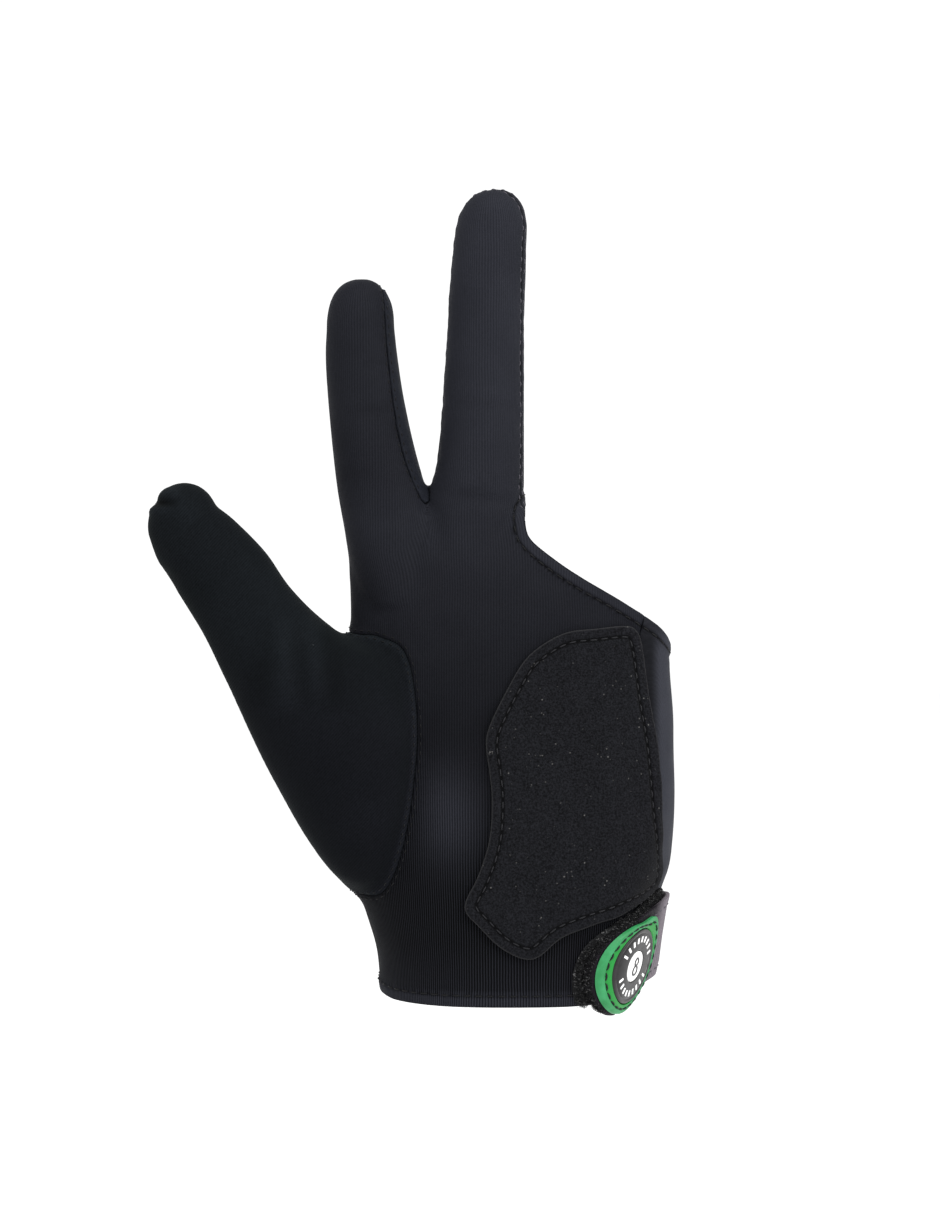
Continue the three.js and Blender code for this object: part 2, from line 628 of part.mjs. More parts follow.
const rubberFloor = strapLift(TAB_AROUND, FAR) + STRAP + GAP;
const tabCentre = { around: TAB_AROUND, z: TAB_HEIGHT };
const badgeCentre = { around: BADGE_AROUND, z: BADGE_HEIGHT };
const disc = (radius, low, high) =>
  wrappedPatch(circleAround(badgeCentre, radius, BADGE_SIDES), badgeCentre, low, high, BADGE_RINGS);
const rubber = wrappedPatch(rubberOutline(), tabCentre, rubberFloor, rubberFloor + RUBBER, RUBBER_RINGS)
  .subtract(disc(BADGE_RADIUS + GAP, rubberFloor - RUBBER, rubberFloor + 2 * RUBBER));
const badge = disc(BADGE_RADIUS, rubberFloor, rubberFloor + RUBBER)
  .subtract(disc(SPOT_RADIUS + GAP, rubberFloor - RUBBER, rubberFloor + 2 * RUBBER));
const spot = disc(SPOT_RADIUS, rubberFloor, rubberFloor + RUBBER);

// Turns a solid into a named mesh with its material. Crumbs that a cut leaves are dropped.

function piece(name, body, colour, roughness, metalness = 0) {
  const parts = body.decompose();
  const main = parts.reduce((a, b) => (a.volume() > b.volume() ? a : b));
  const mesh = main.getMesh();
  const geometry = new THREE.BufferGeometry();
  geometry.setAttribute("position", new THREE.BufferAttribute(mesh.vertProperties, 3));
  geometry.setIndex(new THREE.BufferAttribute(mesh.triVerts, 1));
  const material = new THREE.MeshStandardMaterial({ color: colour, roughness, metalness });
  const result = new THREE.Mesh(geometry, material);
  result.name = name;
  return result;
}

const glove = new THREE.Group();
glove.add(
  piece("palm_panel", palm, 0x17181c, 0.7),
  piece("back_panel", back, 0x1c1d20, 0.75),
  piece("thumb", thumb, 0x141817, 0.8),
  piece("finger_gusset", gusset, 0x191b20, 0.75),
  piece("palm_pad", pad, 0x141415, 0.95),
  piece("loop_patch", loopPatch, 0x0c0d0d, 1.0),
  piece("wrist_strap", wristStrap(), 0x17131a, 0.8),
  piece("tab_patch", rubber, 0x13823a, 0.5),
  piece("badge_disc", badge, 0x101011, 0.25),
  piece("number_spot", spot, 0xe8e8e6, 0.4),
);

export default glove;
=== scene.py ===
"""A left-hand billiard glove in its worn form: thumb, index and middle finger are covered, and the ring and little
fingers come out of a slanted opening. Tables are in millimetres and Blender objects in metres. +Z runs up along the
fingers, the palm faces -Y and +X is the little-finger side. The origin is the middle of the wrist opening."""

import math

import bpy
import numpy as np
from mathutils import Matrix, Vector
from mathutils.kdtree import KDTree


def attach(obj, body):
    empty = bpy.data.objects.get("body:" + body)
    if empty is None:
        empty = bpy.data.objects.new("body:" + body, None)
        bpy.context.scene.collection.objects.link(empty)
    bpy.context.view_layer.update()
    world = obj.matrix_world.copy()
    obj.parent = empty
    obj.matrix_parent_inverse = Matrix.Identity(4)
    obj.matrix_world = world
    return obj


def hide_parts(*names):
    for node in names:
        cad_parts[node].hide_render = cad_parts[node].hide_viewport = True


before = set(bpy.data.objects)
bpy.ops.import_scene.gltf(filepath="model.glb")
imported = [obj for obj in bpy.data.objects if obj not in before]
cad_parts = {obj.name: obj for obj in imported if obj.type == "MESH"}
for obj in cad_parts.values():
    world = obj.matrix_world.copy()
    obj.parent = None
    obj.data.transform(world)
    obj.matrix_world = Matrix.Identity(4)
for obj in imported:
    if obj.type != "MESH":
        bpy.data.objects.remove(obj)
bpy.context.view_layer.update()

MM = 0.001
FAR = 120.0


def table(columns, *rows):
    """Rows of numbers as one array for each named column."""
    return dict(zip(columns.split(), np.array(rows, float).T))


# Cloth and trim thicknesses

CLOTH = 1.15
GAP = 0.3
SUEDE = 1.2
LOOP_PILE = 0.9
STRAP = 1.3
RUBBER = 1.0

# How finely the surfaces are built

VOXEL = 0.9
FINE_EDGE = 0.62
FINE_BAND = 2.4
LEVEL_STEP = 1.5
PALM_SIDES = 120
FINGER_SIDES = 64
DOME_STEPS = 9
WRAP_STEPS = 240
TAUBIN = (0.5, -0.53)
SKIN_ROUNDS = 12
WEB_ROUNDS, WEB_WIDTH, WEB_FULL = 16, 10.0, 2.0
SHARP_ANGLE = math.radians(50)

# Hand form. Each row is a cross section: its two edges, and its depth in front of and behind its middle.

PALM = table(
    "z left right front back",
    (-10, -32.2, 31.6, 22.5, 20.5),
    (0, -33.4, 33.8, 22.3, 20.5),
    (10, -34.6, 35.9, 22.0, 20.0),
    (22, -38.2, 39.6, 21.4, 19.0),
    (34, -40.8, 41.8, 20.3, 18.0),
    (50, -42.0, 42.1, 18.8, 16.8),
    (66, -42.4, 41.8, 17.0, 16.0),
    (82, -41.9, 41.8, 15.2, 15.2),
    (98, -41.2, 41.4, 13.4, 14.2),
    (112, -41.8, 39.6, 11.2, 12.2),
    (120, -42.0, 37.0, 8.6, 9.4),
)
INDEX = table(
    "z left right front back",
    (98, -39.0, -14.0, 11.4, 12.2),
    (110, -41.6, -17.5, 11.4, 12.2),
    (119, -42.9, -19.2, 10.9, 11.4),
    (128, -44.2, -21.7, 10.3, 10.6),
    (140, -45.6, -25.0, 9.4, 9.6),
    (152, -46.6, -27.6, 8.8, 9.0),
    (163, -47.2, -29.2, 8.2, 8.4),
    (170, -46.9, -30.0, 7.8, 7.8),
)
MIDDLE = table(
    "z left right front back",
    (98, -26.0, 1.0, 11.6, 12.4),
    (110, -24.4, 3.4, 11.6, 12.4),
    (119, -23.0, 3.9, 11.1, 11.6),
    (128, -20.6, 3.6, 10.5, 10.8),
    (134, -18.7, 3.6, 10.1, 10.4),
    (147, -17.3, 3.6, 9.4, 9.7),
    (164, -16.1, 3.5, 8.8, 9.0),
    (182, -15.0, 3.8, 8.4, 8.4),
    (192, -14.0, 4.1, 8.0, 7.8),
)
PALM_POWER, FINGER_POWER, THUMB_POWER = 2.35, 2.15, 2.1
PALM_TOP, INDEX_TOP, MIDDLE_TOP = (0, 3.6), (0.2, 12.0), (1.2, 12.8)
DOME_POWER, THUMB_DOME_POWER = 2.4, 1.92
FINGER_LEAN, LEAN_FROM = 0.1, 124.0

# The thumb's sections lie across it, from the ball of the thumb to the tip.

THUMB = table(
    "row leftX leftZ rightX rightZ front back middle",
    (0, -38.6, 22.0, -29.0, 26.5, 7.0, 8.0, 0),
    (1, -43.2, 26.5, -24.8, 36.0, 14.0, 13.0, -2.0),
    (2, -49.4, 34.2, -22.8, 50.0, 18.0, 15.5, -3.5),
    (3, -57.4, 47.2, -23.0, 66.5, 19.0, 16.5, -4.5),
    (4, -66.6, 65.5, -31.5, 84.0, 16.8, 15.5, -5.6),
    (5, -72.0, 77.9, -45.4, 92.6, 14.0, 13.5, -6.8),
    (6, -78.0, 90.0, -56.0, 102.6, 11.6, 11.6, -8.6),
    (7, -83.6, 99.6, -62.4, 111.8, 10.3, 10.3, -10.4),
    (8, -89.4, 108.9, -70.0, 119.8, 9.2, 9.2, -12.4),
    (9, -91.9, 115.8, -75.2, 124.0, 8.2, 8.0, -13.6),
)
THUMB_STEP = 0.14
THUMB_TOP = np.array([-2.9, -0.8, 9.0])

# The tight strap presses the wrist flat where its tab lies.

FLAT_TURN = math.radians(62)
FLAT_OUT = 29.2
FLAT_LEAN = 0.22
FLAT_BLEND = 2.5

# Seams and edges, as seen from the palm side

THUMB_SEAM_FRONT = table(
    "x z", (-47, 97), (-41.2, 91.5), (-33.4, 90.3), (-26.4, 85.6), (-23.6, 69), (-24.5, 52), (-27.4, 36),
    (-31.6, 26), (-36.6, 23.7), (-43.5, 24.5),
)
THUMB_SEAM_BACK = table(
    "x z", (-47, 97), (-41.2, 91.5), (-36.4, 84), (-33, 68), (-33.2, 50), (-35.6, 34), (-38.6, 25.5), (-43.5, 24.5),
)
ROUND_THUMB = [(-FAR, 12), (-FAR, 150), (-56, 150)]
GUSSET_SEAM_INDEX = table(
    "x z", (-33.6, 182.6), (-32.3, 176.8), (-31.5, 165), (-30, 151), (-28.2, 140.7), (-26, 133), (-23.2, 126.4),
)
GUSSET_SEAM_MIDDLE = table(
    "x z", (-19.4, 126.4), (-15, 134), (-13.2, 147), (-12.2, 165), (-11.4, 184), (-11, 196), (-10.4, 203.6),
)
GUSSET_FOOT = [(-22.5, 125.3), (-21.6, 124.5), (-20.6, 125.3)]
BESIDE_MIDDLE_Z = np.array([129.0, 134.0, 147.0])
OVER_INDEX = (-26, 190)
OVER_MIDDLE = (-24, 214)
SIDE_EDGE = table(
    "x z", (4.2, 124), (4.1, 119.4), (5.5, 115.2), (11.4, 110.2), (18.5, 105.4), (28.6, 99.5), (36.6, 94.4),
    (40.6, 90.8), (43.9, 84),
)
BEYOND_SIDE_EDGE = [(60, 70), (60, 150), (6.5, 150), (4.9, 130)]
WRIST_EDGE = table("y z", (-40, -3.4), (-21, -3.0), (-12, -2.4), (0, -0.6), (12, 0.8), (40, 1.2))
SIDE_SEAM = table(
    "z thumbSide littleSide",
    (-30, 9.0, -9.5),
    (10, 9.0, -9.5),
    (40, 8.5, -10.5),
    (88, 7.0, -10.0),
    (112, 6.0, -5.0),
    (130, 4.5, -4.8),
    (150, 2.8, -6.2),
    (170, -0.6, -8.0),
    (190, -4.5, -10.2),
    (230, -8.0, -12.0),
)
SIDE_SEAM_FROM_X, SIDE_SEAM_TO_X = -27.0, 0.0
FRONT_TO_BACK = 2.5

# Suede pad on the heel of the palm

PAD_OUTLINE = table(
    "x z", (8.9, 88.6), (14.7, 91.4), (21.6, 92.2), (28.2, 92.9), (31.6, 92.2), (33.4, 88.1), (35.2, 74.2),
    (36.8, 61.5), (37.5, 48.8), (37.6, 36.1), (36.8, 26), (27.9, 20), (20.3, 17.4), (12.7, 14.4), (5.8, 9.2),
    (-1.3, 11.3), (-7.6, 17.1), (-11.4, 22.2), (-8.1, 29.8), (-5.3, 38.7), (-4.6, 48.8), (-5.3, 56.4),
    (-6.1, 62.8), (-5.1, 67.8), (-0.8, 76.7), (3.8, 84.3),
)
PAD_STITCH_IN = 2.8

# Hems, seams and stitches

HEM_WIDTH = 3.5
HEM_STITCH_IN = 2.9
HEM_RAISED, HEM_RISES = 0.32, (HEM_WIDTH + 0.35, HEM_WIDTH - 0.3)
HEM_ROLL, HEM_GROOVE = (0.7, 0.45), (0.4, 0.2)
ROLL_RADIUS, ROLL_DEPTH = 1.15, 0.62
PAD_ROLL, PAD_GROOVE = (0.4, 0.35), (0.5, 0.36)
SEAM_PUCKER, SEAM_PUCKER_WIDTH = 0.09, 3.0
HEM_PUCKER, HEM_PUCKER_IN, HEM_PUCKER_WIDTH = 0.07, 3.0, 2.5
PUCKER_WAVE, SWELL, SWELL_WAVE = 3.6, 0.05, 16.0
SEAM_STITCH_IN, BACK_SEAM_STITCH_IN = 0.9, 0.95

# Each kind of stitch: its pitch, length, width and how far it stands out

STITCHES = {
    "hem": (2.9, 2.0, 0.42, 0.2),
    "back_seam": (2.6, 1.3, 0.32, 0.16),
    "thumb_seam": (2.3, 1.2, 0.32, 0.16),
    "gusset_seam": (2.3, 1.2, 0.32, 0.1),
    "pad": (2.75, 1.95, 0.42, 0.22),
    "strap": (2.6, 1.8, 0.36, 0.18),
    "rubber": (2.6, 2.1, 0.5, 0.22),
}

# Where the worn cloth swells and folds on the palm side. Each fold is a line with a width, a depth and how much
# painted light or shade lies along it, lighter on ridges and streaks that catch light and darker in valleys.

LOBE_RAISED, LOBE_WIDTH, LOBE_FADES = 1.5, 6.5, (100.0, 80.0)
FINGERS_FULLER, FINGERS_FROM, BESIDE_THUMB = 0.3, (112.0, 130.0), (-56.0, -50.0)
SIDE_FULLER, SIDE_FULLER_X, SIDE_FULLER_FROM, SIDE_FULLER_FADES = 0.9, (30.0, 38.0), (23.0, 32.0), (84.0, 66.0)
PALM_SIDE, FACING_PALM = (-0.35, 0.25), (0.05, 0.65)
FOLD_TAPER = 0.6
FOLDS = table(
    "fromX fromZ toX toZ width depth light",
    (-58.5, 96, -55.5, 70, 2.9, -0.4, 0.36),
    (-54.4, 94, -51.6, 71, 2.6, 0.6, -0.22),
    (-50.9, 96, -48.7, 74, 2.6, -0.35, 0.3),
    (-45.6, 93, -44.4, 70, 3.2, 0.6, -0.26),
    (-62, 95, -62.5, 72, 3.4, 0.4, -0.24),
    (-68, 112, -48, 91, 6.0, 0.0, 0.28),
    (-73, 105, -58, 84, 8.0, 0.0, 0.18),
    (-95.5, 125, -83.5, 124.2, 1.35, 0.85, -0.95),
    (-96, 122.4, -85.5, 122.2, 1.0, -0.35, 0.9),
    (-91.5, 127.9, -83.2, 126.5, 1.5, -0.3, 0.8),
    (-88, 129, -79, 119, 3.4, 0.0, 0.35),
    (-90, 108, -84, 103, 3.0, 0.35, -0.15),
    (-15, 149.5, 2, 149, 2.4, 0.3, -0.07),
    (-16.5, 126.5, 1, 124.6, 2.4, 0.4, -0.07),
    (-42, 147, -30, 148, 2.2, 0.3, -0.08),
    (-39, 159, -31, 160, 2.0, 0.2, -0.05),
    (-38, 119, -24, 123, 3.0, 0.35, -0.08),
    (2, 112, 22, 97, 5.0, 0.35, 0.0),
    (-30, 108, -8, 101, 6.0, 0.35, 0.0),
)

# How light the knit is painted: painted light that grows up the glove, painted shade on the index finger, a painted
# highlight in the hollow of the palm and painted light at its side

PAINTED_LIGHT_BY_HEIGHT = table(
    "z tone", (-5, 0.15), (4, 0.1), (13, 0.035), (30, 0.05), (55, 0.12), (75, 0.19), (100, 0.28), (125, 0.44),
    (150, 0.52), (205, 0.55),
)
INDEX_PAINTED_SHADE, INDEX_TONE_X, INDEX_TONE_FROM = 0.66, (-20.0, -26.0), (118.0, 134.0)
HOLLOW_PAINTED_HIGHLIGHT, HOLLOW_PLACE, HOLLOW_SIZE = 0.38, (-15.0, 45.0), (8.0, 12.0)
SIDE_PAINTED_LIGHT, SIDE_TONE_FROM, SIDE_TONE_DEPTH, SIDE_TONE_FADES = 1.0, (36.0, 40.0), (10.0, 2.0), (95.0, 85.0)
BACK_TONE, BACK_TONE_DEPTH, BACK_TONE_FADES = 0.5, (-2.0, 8.0), (150.0, 120.0)
HEM_TONE, SLANT_HEM_TONE, HEM_TONE_UP_TO, HEM_TONE_BLEND = 0.3, 0.14, (60.0, 20.0), 0.3
HEM_LINE_WIDTH, HEM_LINE_SHADE, HEM_LINE_DARK = 0.4, 0.1, 0.9
THUMB_TONE, SEAM_TONE, SEAM_TONE_IN, SEAM_TONE_WIDTH = 0.6, 0.6, 0.8, 0.5


def column(rows, key, name, at):
    """A column of a table, blended smoothly between its rows."""
    keys, values = rows[key], rows[name]
    slope = np.empty(len(keys))
    slope[1:-1] = (values[2:] - values[:-2]) / (keys[2:] - keys[:-2])
    slope[0] = (values[1] - values[0]) / (keys[1] - keys[0])
    slope[-1] = (values[-1] - values[-2]) / (keys[-1] - keys[-2])
    i = np.clip(np.searchsorted(keys, at, side="right") - 1, 0, len(keys) - 2)
    span = keys[i + 1] - keys[i]
    t = np.clip((at - keys[i]) / span, 0, 1)
    bend = slope[i] * span * t * (1 - t) ** 2 - slope[i + 1] * span * t**2 * (1 - t)
    return values[i] * (1 + 2 * t) * (1 - t) ** 2 + values[i + 1] * (3 - 2 * t) * t**2 + bend


def smoothstep(low, high, value):
    t = np.clip((value - low) / (high - low), 0, 1)
    return t * t * (3 - 2 * t)


def unit(vectors):
    return vectors / np.maximum(np.linalg.norm(vectors, axis=-1, keepdims=True), 1e-12)


# The hand form


def section(left, right, front, back, power, angle):
    """Closed cross sections. Angle 0 is the right edge, and a quarter turn on is the palm side."""
    c, s = np.cos(angle), np.sin(angle)
    across = np.sign(c) * np.abs(c) ** (2 / power)
    depth = np.abs(s) ** (2 / power)
    points = ((left + right) / 2)[:, None] + across[..., None] * ((right - left) / 2)[:, None]
    points[..., 1] += np.where(s > 0, -front[:, None] * depth, back[:, None] * depth)
    return points


def pressed(points, grow):
    """Eases points back to the flat that the strap presses."""
    facing = np.array([math.sin(FLAT_TURN), -math.cos(FLAT_TURN), 0])
    past = points @ facing - FLAT_OUT - FLAT_LEAN * points[..., 2] - grow
    share = np.clip((past + FLAT_BLEND) / (2 * FLAT_BLEND), 0, 1)
    return points - np.where(past > FLAT_BLEND, past, FLAT_BLEND * share**2)[..., None] * facing


def level_edges(rows, z, grow=0.0):
    """The left and right edges, and the front and back depths, of a form at some heights."""
    lean = -FINGER_LEAN * np.maximum(z - LEAN_FROM, 0)
    left = np.stack([column(rows, "z", "left", z) - grow, lean, z], -1)
    right = np.stack([column(rows, "z", "right", z) + grow, lean, z], -1)
    return left, right, column(rows, "z", "front", z) + grow, column(rows, "z", "back", z) + grow


def domed(left, right, front, back, rise, power):
    """Adds sections that round a form off above its last one."""
    up = np.sin(np.arange(1, DOME_STEPS + 1) / (DOME_STEPS + 0.12) * np.pi / 2)
    width = (1 - up**power) ** (1 / power)
    centre, half = (left[-1] + right[-1]) / 2, (right[-1] - left[-1]) / 2
    middle = centre + up[:, None] * rise
    left = np.concatenate([left, middle - width[:, None] * half])
    right = np.concatenate([right, middle + width[:, None] * half])
    return left, right, np.append(front, front[-1] * width), np.append(back, back[-1] * width)


def loft(rings):
    """The points and triangles of a closed shell through rings of points, from the lowest to the highest."""
    count, sides = rings.shape[:2]
    points = np.concatenate([rings.reshape(-1, 3), rings[[0, -1]].mean(axis=1)])
    here = np.arange(sides)
    beside = (here + 1) % sides
    low = (np.arange(count - 1) * sides)[:, None]
    a, b, c, d = low + here, low + beside, low + sides + beside, low + sides + here
    walls = [np.stack([a, c, b], -1).reshape(-1, 3), np.stack([a, d, c], -1).reshape(-1, 3)]
    last = (count - 1) * sides
    bottom = np.stack([np.full(sides, count * sides), here, beside], -1)
    top = np.stack([np.full(sides, count * sides + 1), last + beside, last + here], -1)
    return points, np.concatenate([*walls, bottom, top])


def level_shell(rows, power, sides, top):
    """A closed shell through level sections, with a round top."""
    z = np.linspace(rows["z"][0], rows["z"][-1], int(np.ptp(rows["z"]) / LEVEL_STEP) + 1)
    lean = -FINGER_LEAN if rows["z"][-1] > LEAN_FROM else 0.0
    edges = domed(*level_edges(rows, z), np.array([top[0], lean * top[1], top[1]]), DOME_POWER)
    angle = np.broadcast_to(np.linspace(0, 2 * np.pi, sides, endpoint=False), (len(edges[0]), sides))
    rings = section(*edges, power, angle)
    return loft(pressed(rings, 0.0) if rows is PALM else rings)


def thumb_shell():
    """The thumb's closed shell, whose sections lean."""
    at = np.arange(0, THUMB["row"][-1] + THUMB_STEP / 2, THUMB_STEP)
    pick = {name: column(THUMB, "row", name, at) for name in THUMB}
    left = np.stack([pick["leftX"], pick["middle"], pick["leftZ"]], -1)
    right = np.stack([pick["rightX"], pick["middle"], pick["rightZ"]], -1)
    edges = domed(left, right, pick["front"], pick["back"], THUMB_TOP, THUMB_DOME_POWER)
    angle = np.broadcast_to(np.linspace(0, 2 * np.pi, FINGER_SIDES, endpoint=False), (len(edges[0]), FINGER_SIDES))
    return loft(section(*edges, THUMB_POWER, angle))


def joined(parts):
    """Many (points, triangles) as one."""
    points, triangles, count = [], [], 0
    for part_points, part_triangles in parts:
        points.append(part_points)
        triangles.append(part_triangles + count)
        count += len(part_points)
    return np.concatenate(points), np.concatenate(triangles)


def united(shells):
    """One closed skin round overlapping shells."""
    points, triangles = joined(shells)
    mesh = bpy.data.meshes.new("shells")
    mesh.from_pydata(points, [], triangles.tolist())
    holder = bpy.data.objects.new("shells", mesh)
    bpy.context.scene.collection.objects.link(holder)
    voxels = holder.modifiers.new("voxels", "REMESH")
    voxels.mode = "VOXEL"
    voxels.voxel_size = VOXEL
    skin = holder.evaluated_get(bpy.context.evaluated_depsgraph_get()).to_mesh()
    made = mesh_arrays(skin)
    bpy.data.objects.remove(holder)
    bpy.data.meshes.remove(mesh)
    return made


def mesh_arrays(mesh):
    """A mesh's points and triangles as arrays."""
    mesh.calc_loop_triangles()
    points = np.empty(len(mesh.vertices) * 3, np.float32)
    triangles = np.empty(len(mesh.loop_triangles) * 3, np.int32)
    mesh.vertices.foreach_get("co", points)
    mesh.loop_triangles.foreach_get("vertices", triangles)
    return points.reshape(-1, 3).astype(float), triangles.reshape(-1, 3).astype(int)


def edges_of(triangles):
    """Each edge once, and for each triangle the three edges that it has."""
    pairs = np.sort(triangles[:, [0, 1, 1, 2, 2, 0]].reshape(-1, 2), axis=1)
    key = pairs[:, 0] * (triangles.max() + 1) + pairs[:, 1]
    _, first, which = np.unique(key, return_index=True, return_inverse=True)
    return pairs[first], which.reshape(-1, 3)


def summed(index, values, count):
    """The sum of the rows of values that share an index."""
    return np.stack([np.bincount(index, values[:, k], count) for k in range(values.shape[1])], -1)


def smoothed(points, triangles, rounds, weight=1.0, steps=TAUBIN):
    """Evens a surface out. With two steps it keeps its size, and with one it shrinks where it bends."""
    edges, _ = edges_of(triangles)
    a, b = np.concatenate([edges, edges[:, ::-1]]).T
    degree = np.bincount(a, minlength=len(points))[:, None]
    for _ in range(rounds):
        for step in steps:
            middle = summed(a, points[b], len(points)) / degree
            points = points + step * np.reshape(weight, (-1, 1)) * (middle - points)
    return points


def point_normals(points, triangles):
    a, b, c = (points[triangles[:, k]] for k in range(3))
    face = np.cross(b - a, c - a)
    return unit(sum(summed(triangles[:, k], face, len(points)) for k in range(3)))


# Where the panels lie: each value is above zero inside its region, and about the distance to its edge


def smooth_line(rows, steps, closed=False):
    """Points on a smooth line through a table's x and z."""
    points = np.stack([rows["x"], rows["z"]], -1)
    if closed:
        before, after, last = np.roll(points, 1, 0), np.roll(points, -1, 0), np.roll(points, -2, 0)
        first = points
    else:
        padded = np.concatenate([2 * points[:1] - points[1:2], points, 2 * points[-1:] - points[-2:-1]])
        before, first, after, last = padded[:-3], padded[1:-2], padded[2:-1], padded[3:]
    t = (np.arange(steps) / steps)[None, :, None]
    p0, p1, p2, p3 = (p[:, None] for p in (before, first, after, last))
    line = 0.5 * (
        2 * p1 + (p2 - p0) * t + (2 * p0 - 5 * p1 + 4 * p2 - p3) * t**2 + (3 * p1 - p0 - 3 * p2 + p3) * t**3
    )
    line = line.reshape(-1, 2)
    return line if closed else np.concatenate([line, points[-1:]])


def inside(outline, x, z):
    """How far points lie inside a closed outline, below zero where they are outside."""
    start, end = outline, np.roll(outline, -1, 0)
    along = end - start
    length = np.maximum((along**2).sum(1), 1e-12)
    found = np.empty(len(x))
    for low in range(0, len(x), 20000):
        px, pz = x[low : low + 20000, None], z[low : low + 20000, None]
        dx, dz = px - start[:, 0], pz - start[:, 1]
        t = np.clip((dx * along[:, 0] + dz * along[:, 1]) / length, 0, 1)
        distance = np.hypot(dx - t * along[:, 0], dz - t * along[:, 1]).min(axis=1)
        crosses = (start[:, 1] > pz) != (end[:, 1] > pz)
        rise = np.where(along[:, 1] == 0, 1e-12, along[:, 1])
        crossings = crosses & (px < start[:, 0] + (pz - start[:, 1]) / rise * along[:, 0])
        odd = crossings.sum(axis=1) % 2 == 1
        found[low : low + 20000] = np.where(odd, distance, -distance)
    return found


def two_sided(front, back, points, depth):
    """One outline holds on the palm side and the other behind the hand, with a soft change between them."""
    share = smoothstep(-FRONT_TO_BACK, FRONT_TO_BACK, depth)
    x, z = points[:, 0], points[:, 2]
    return (1 - share) * inside(front, x, z) + share * inside(back, x, z)


def regions(points):
    """For each point, how far inside each panel's region it is."""
    x, y, z = points.T
    thumb_front = np.concatenate([smooth_line(THUMB_SEAM_FRONT, 8), ROUND_THUMB])
    thumb_back = np.concatenate([smooth_line(THUMB_SEAM_BACK, 8), ROUND_THUMB])
    index_line = smooth_line(GUSSET_SEAM_INDEX, 5)
    beside = np.stack([column(MIDDLE, "z", "left", BESIDE_MIDDLE_Z) - 2 * GAP, BESIDE_MIDDLE_Z], -1)
    crotch = (GUSSET_FOOT[-1][0], GUSSET_SEAM_MIDDLE["z"][0])
    gusset_front = np.concatenate([index_line, GUSSET_FOOT, [crotch], beside, [OVER_INDEX]])
    middle_line = smooth_line(GUSSET_SEAM_MIDDLE, 5)
    gusset_back = np.concatenate([index_line, GUSSET_FOOT, middle_line, [OVER_MIDDLE, OVER_INDEX]])
    across = np.clip((x - SIDE_SEAM_FROM_X) / (SIDE_SEAM_TO_X - SIDE_SEAM_FROM_X), 0, 1)
    thumb_side = column(SIDE_SEAM, "z", "thumbSide", z)
    little_side = column(SIDE_SEAM, "z", "littleSide", z)
    side_edge = np.concatenate([smooth_line(SIDE_EDGE, 6), BEYOND_SIDE_EDGE])
    pad = smooth_line(PAD_OUTLINE, 4, closed=True)
    return {
        "thumb": two_sided(thumb_front, thumb_back, points, y),
        "gusset": two_sided(gusset_front, gusset_back, points, y + FINGER_LEAN * (z - LEAN_FROM)),
        "back": y - (thumb_side + (little_side - thumb_side) * across),
        "side": -inside(side_edge, x, z),
        "wrist": z - np.interp(y, WRIST_EDGE["y"], WRIST_EDGE["z"]),
        "pad": np.where(y < 0, inside(pad, x, z), -FAR),
    }


# Surfaces with values at their points


def compact(points, triangles, values):
    """A surface of only those points that its triangles use."""
    used, triangles = np.unique(triangles, return_inverse=True)
    return Surface(points[used], triangles.reshape(-1, 3), {key: value[used] for key, value in values.items()})


